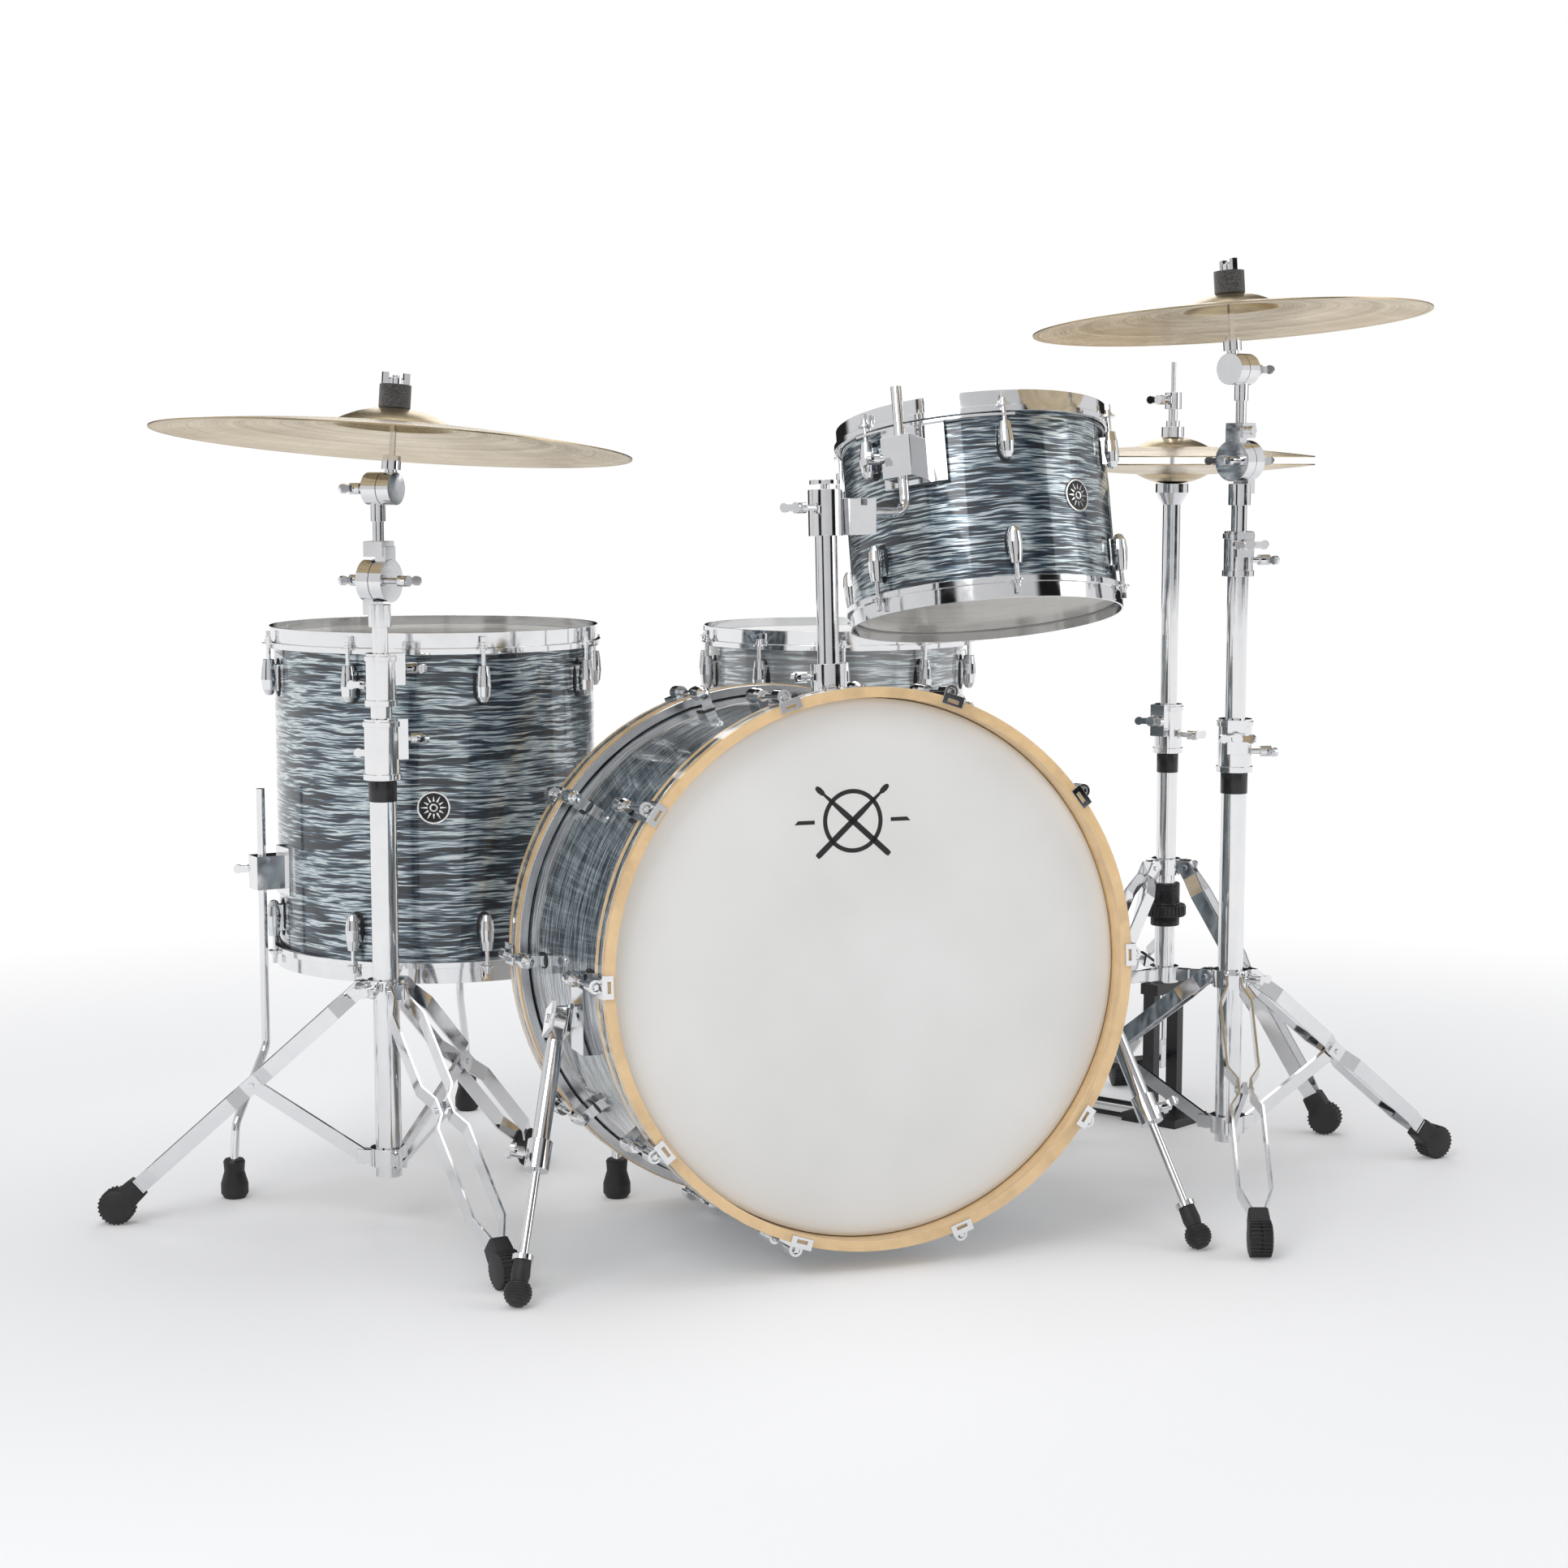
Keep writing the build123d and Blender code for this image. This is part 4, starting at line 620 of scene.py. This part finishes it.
def stick(build, at, angle, length=118.0):
    """Flat drumstick with an oval tip, its middle at the origin."""
    half = [(-length / 2, 2.6), (-length / 2 + 3, 3.4), (length * 0.12, 3.3), (length * 0.36, 1.7),
            (length * 0.385, 1.5), (length * 0.41, 3.0), (length * 0.455, 3.4), (length * 0.49, 2.4),
            (length / 2, 0.6)]
    outline = [(x, -w) for x, w in half] + [(x, w) for x, w in reversed(half)]
    turn = Matrix.Rotation(radians(angle), 4, "Z")
    sections = [[(x, y, z) for x, y in outline] for z in (-0.2, 0.18)]
    build.loft(sections, at @ turn)


emblem = Build()
emblem_at = PLACES["bass"] @ SCALE @ Matrix.Translation((-16, 168, BASS_HALF + FILM))
stick(emblem, emblem_at, 42)
stick(emblem, emblem_at, 138)
emblem.lathe([(31, -0.2), (36, -0.2), (36, 0.18), (31, 0.18)], 72, emblem_at)
for side in (-1, 1):
    bar = [[(side * x, y, z) for x, y in ((46, -2.2), (70, -2.2), (66, 2.2), (46, 2.2))]
           for z in (-0.2, 0.18)]
    emblem.loft(bar, emblem_at)
make_piece("bass_head_emblem", emblem.mesh("bass_head_emblem"), INK, "kit", "black_frame")


# ---------------------------------------------------------------- stands
def foot_parts():
    """Rubber foot: ribbed wheel about Y at the origin and its socket towards -X."""
    wheel = Build()
    profile = [(0, -FOOT_HALF), (17.5, -FOOT_HALF), (20.2, -FOOT_HALF + 1.6), (20.6, -1.4), (19.4, -0.8),
               (19.4, 0.8), (20.6, 1.4), (20.2, FOOT_HALF - 1.6), (17.5, FOOT_HALF), (0, FOOT_HALF)]
    wheel.lathe(profile, 56, Matrix.Rotation(pi / 2, 4, "X"))
    sections = [rounded(-36.5, 9.5, 11.0, 3.0), rounded(-35.0, 11.5, 13.0, 3.5),
                rounded(-22.0, 12.5, 14.0, 4.0), rounded(-14.0, 12.5, 14.0, 4.0),
                rounded(0.0, 11.5, 12.5, 4.0)]
    wheel.loft(sections, Matrix.Identity(4))
    rib = Build()
    corner = [(-1.0, -1.15), (0.9, -1.15), (1.55, -0.55), (1.55, 0.55), (0.9, 1.15), (-1.0, 1.15)]
    rib.loft([[(x * s, y * s, z) for x, y in corner] for z, s in
              ((-FOOT_HALF + 1.2, 0.7), (-FOOT_HALF + 2.2, 1.0),
               (FOOT_HALF - 2.2, 1.0), (FOOT_HALF - 1.2, 0.7))],
             Matrix.Identity(4))
    ribs = round_a_ring(rib.mesh("rib"), 26, 20.3, 0.0, RUBBER)
    return wheel.mesh("wheel"), ribs


wheel_mesh, rib_mesh = foot_parts()
feet = []
for place, angles, reach, hub, tube_r in STAND_FEET.values():
    run, rise = reach - (tube_r + PIVOT_OUT), hub - FOOT_R
    for angle in angles:
        out = Vector((cos(radians(angle)), sin(radians(angle)), 0))
        at = standing_at((place[0] + out.x * reach, place[1] + out.y * reach), FOOT_R)
        turn = Matrix.Rotation(radians(angle), 4, "Z") @ Matrix.Rotation(atan2(rise, run), 4, "Y")
        feet.append((wheel_mesh, at @ turn))
        feet.append((rib_mesh, at @ turn @ Matrix.Rotation(pi / 2, 4, "X")))
make_piece("stand_rubber_feet", gather(feet), RUBBER, "kit", "rubber", ("stand_feet",))

bands = Build()
for place, tube_r, low, high in TUBE_BANDS.values():
    bands.lathe([(tube_r - 0.4, low), (tube_r + 0.5, low), (tube_r + 0.8, low + 0.6),
                 (tube_r + 0.8, high - 0.6), (tube_r + 0.5, high), (tube_r - 0.4, high)],
                64, standing_at(place))
make_piece("tube_bands", bands.mesh("tube_bands"), BLACK, "kit", "black_frame")


def spur_foot(side):
    """Rubber ball foot with rings of grip round it."""
    joint = SPIN[f"spur_{side}_length"]
    down = Vector(joint["axis"]).normalized()
    if down.z > 0:
        down = -down
    turn = down.to_track_quat("Z", "X").to_matrix().to_4x4()
    profile = [(0, -38.0), (7.0, -38.0), (9.6, -36.5), (10.0, -30.0), (10.6, -20.0)]
    row = 0
    z = -12.0
    while z < 14.5:
        profile.append((sqrt(SPUR_BALL ** 2 - z * z) - (0.05 if row % 2 else 1.3), z))
        row += 1
        z += 1.75
    profile.append((0, SPUR_BALL - 0.6))
    ball = Build().lathe(profile, 48, standing_at(SPUR_FEET[side], SPUR_BALL) @ turn)
    make_piece(f"spur_{side}_ball", ball.mesh(f"spur_{side}_ball"), RUBBER, f"spur_{side}_extension",
               "rubber", (f"spur_{side}_foot",))


spur_foot("left")
spur_foot("right")


def hihat_grip():
    """Threaded sleeve and knurled wheel of the hi-hat's spring adjuster."""
    at = standing_at((658.0, 367.0))
    profile, z = [(18.6, 275.2)], 276.0
    while z < 287.0:
        profile += [(19.9, z), (19.3, z + 1.0)]
        z += 2.0
    profile += [(27.2, 288.2), (27.6, 289.4), (27.6, 302.6), (27.2, 303.8), (20.0, 304.4)]
    z = 306.0
    while z < 333.0:
        profile += [(19.9, z), (19.3, z + 1.0)]
        z += 2.0
    profile.append((18.6, 333.8))
    sleeve = Build().lathe(profile, 64, at).mesh("sleeve")
    knob = Build()
    corner = [(-0.8, -1.2), (0.8, -0.7), (0.8, 0.7), (-0.8, 1.2)]
    knob.loft([[(x, y, z) for x, y in corner] for z in (289.8, 302.2)], Matrix.Identity(4))
    knurl = round_a_ring(knob.mesh("knurl"), 30, 27.8, 0.0, BLACK)
    make_piece("hihat_adjuster_grip", gather([(sleeve, Matrix.Identity(4)), (knurl, at)]), BLACK, "kit",
               "black_frame")


hihat_grip()

# ---------------------------------------------------------------- studio
floor_mesh = bpy.data.meshes.new("studio_floor")
reach = 14.0
floor_mesh.from_pydata([(-reach, -reach, 0), (reach, -reach, 0), (reach, reach, 0), (-reach, reach, 0)], [],
                       [(0, 1, 2, 3)])
studio_floor = bpy.data.objects.new("studio_floor", floor_mesh)
bpy.context.scene.collection.objects.link(studio_floor)
FADE_FROM, FADE_TO = 1.1, 2.6         # the floor turns into the white surround between these radii
FLOOR_GLOW = 0.16
PAPER_WHITE = (0.93, 0.935, 0.95)
paper = Finish("studio_paper", PAPER_WHITE, 0.8)
from_kit = paper.node("VectorMath", {0: paper.place}, operation="LENGTH").outputs[1]
fade = paper.node("MapRange", {"Value": from_kit, "From Min": FADE_FROM, "From Max": FADE_TO,
                               "To Min": FLOOR_GLOW},
                  interpolation_type="SMOOTHSTEP").outputs[0]
tooth = paper.noise(paper.place, 90.0, 3.0)
paper.use(Normal=paper.bump(tooth, 0.05, 0.0005),
          Base_Color=paper.mix(fade, (*PAPER_WHITE, 1), (0.0, 0.0, 0.0, 1)),
          Emission_Strength=fade)
paper.shader.inputs["Emission Color"].default_value = (1, 1, 1, 1)
floor_mesh.materials.append(paper.material)

world = bpy.data.worlds.new("studio")
bpy.context.scene.world = world
world.use_nodes = True
sky, wire = world.node_tree.nodes, world.node_tree.links.new
background = sky["Background"]
direction = sky.new("ShaderNodeTexCoord")
parts = sky.new("ShaderNodeSeparateXYZ")
wire(direction.outputs["Generated"], parts.inputs[0])
around = sky.new("ShaderNodeMath")
around.operation = "ARCTAN2"
wire(parts.outputs["Y"], around.inputs[0])
wire(parts.outputs["X"], around.inputs[1])
turns = sky.new("ShaderNodeMapRange")
turns.inputs["From Min"].default_value, turns.inputs["From Max"].default_value = -pi, pi
wire(around.outputs[0], turns.inputs["Value"])
walls = sky.new("ShaderNodeValToRGB")
walls.color_ramp.interpolation = "EASE"
SURROUND = 0.62                       # strength of the light from all round
ROOF_GREY = (0.62, 0.63, 0.65, 1)
# Bright and dark upright panels: share of a full turn, brightness
PANELS = ((0.00, 1.25), (0.055, 1.2), (0.068, 0.02), (0.105, 0.02), (0.118, 1.15), (0.30, 1.0), (0.318, 0.02),
          (0.405, 0.02), (0.425, 1.35), (0.555, 1.25), (0.585, 0.03), (0.81, 0.03), (0.84, 1.25), (1.0, 1.25))
ramp = walls.color_ramp
for _ in range(len(PANELS) - 2):
    ramp.elements.new(0.5)
for element, (at, level) in zip(ramp.elements, PANELS):
    element.position = at
    element.color = (level, level, level * 1.01, 1)
wire(turns.outputs[0], walls.inputs[0])
height = sky.new("ShaderNodeValToRGB")
for element, (at, level) in zip(height.color_ramp.elements, ((0.50, 0.0), (0.85, 1.0))):
    element.position = at
    element.color = (level, level, level, 1)
wire(parts.outputs["Z"], height.inputs[0])
roof = sky.new("ShaderNodeMix")
roof.data_type = "RGBA"
wire(height.outputs[0], roof.inputs[0])
wire(walls.outputs[0], roof.inputs[6])
roof.inputs[7].default_value = ROOF_GREY
seen = sky.new("ShaderNodeLightPath")
choose = sky.new("ShaderNodeMix")
choose.data_type = "RGBA"
wire(seen.outputs["Is Camera Ray"], choose.inputs[0])
wire(roof.outputs[2], choose.inputs[6])
choose.inputs[7].default_value = (1 / SURROUND, 1 / SURROUND, 1 / SURROUND, 1)
wire(choose.outputs[2], background.inputs["Color"])
background.inputs["Strength"].default_value = SURROUND


def soft_box(name, place, size, power, aim=(0.05, 0.0, 0.55)):
    lamp = bpy.data.lights.new(name, "AREA")
    lamp.shape, lamp.size, lamp.size_y, lamp.energy = "RECTANGLE", size[0], size[1], power
    box = bpy.data.objects.new(name, lamp)
    bpy.context.scene.collection.objects.link(box)
    box.location = place
    box.rotation_euler = (Vector(aim) - Vector(place)).to_track_quat("-Z", "Y").to_euler()


soft_box("key_box", (-2.6, -2.4, 3.2), (2.2, 2.2), 62)
soft_box("fill_box", (3.0, -2.0, 2.0), (1.6, 2.4), 22)
soft_box("top_box", (0.0, 0.4, 3.6), (3.0, 2.4), 42)
soft_box("back_box", (1.2, 3.2, 2.4), (2.4, 1.6), 25)

# ---------------------------------------------------------------- camera
CAMERA_OFFSET, CAMERA_HEIGHT = (-1.230, -3.253), 0.9146
CAMERA_PITCH, CAMERA_TURN = radians(82.771), radians(-20.14)
camera = bpy.data.cameras.new("camera")
camera.lens, camera.sensor_width, camera.shift_y = 68.08, 36.0, 0.0319
viewer = bpy.data.objects.new("camera", camera)
bpy.context.scene.collection.objects.link(viewer)
viewer.location = (ORIGIN.x + CAMERA_OFFSET[0], ORIGIN.y + CAMERA_OFFSET[1], CAMERA_HEIGHT)
viewer.rotation_euler = (CAMERA_PITCH, 0, CAMERA_TURN)
bpy.context.scene.camera = viewer
bpy.context.scene.view_settings.view_transform = "Standard"
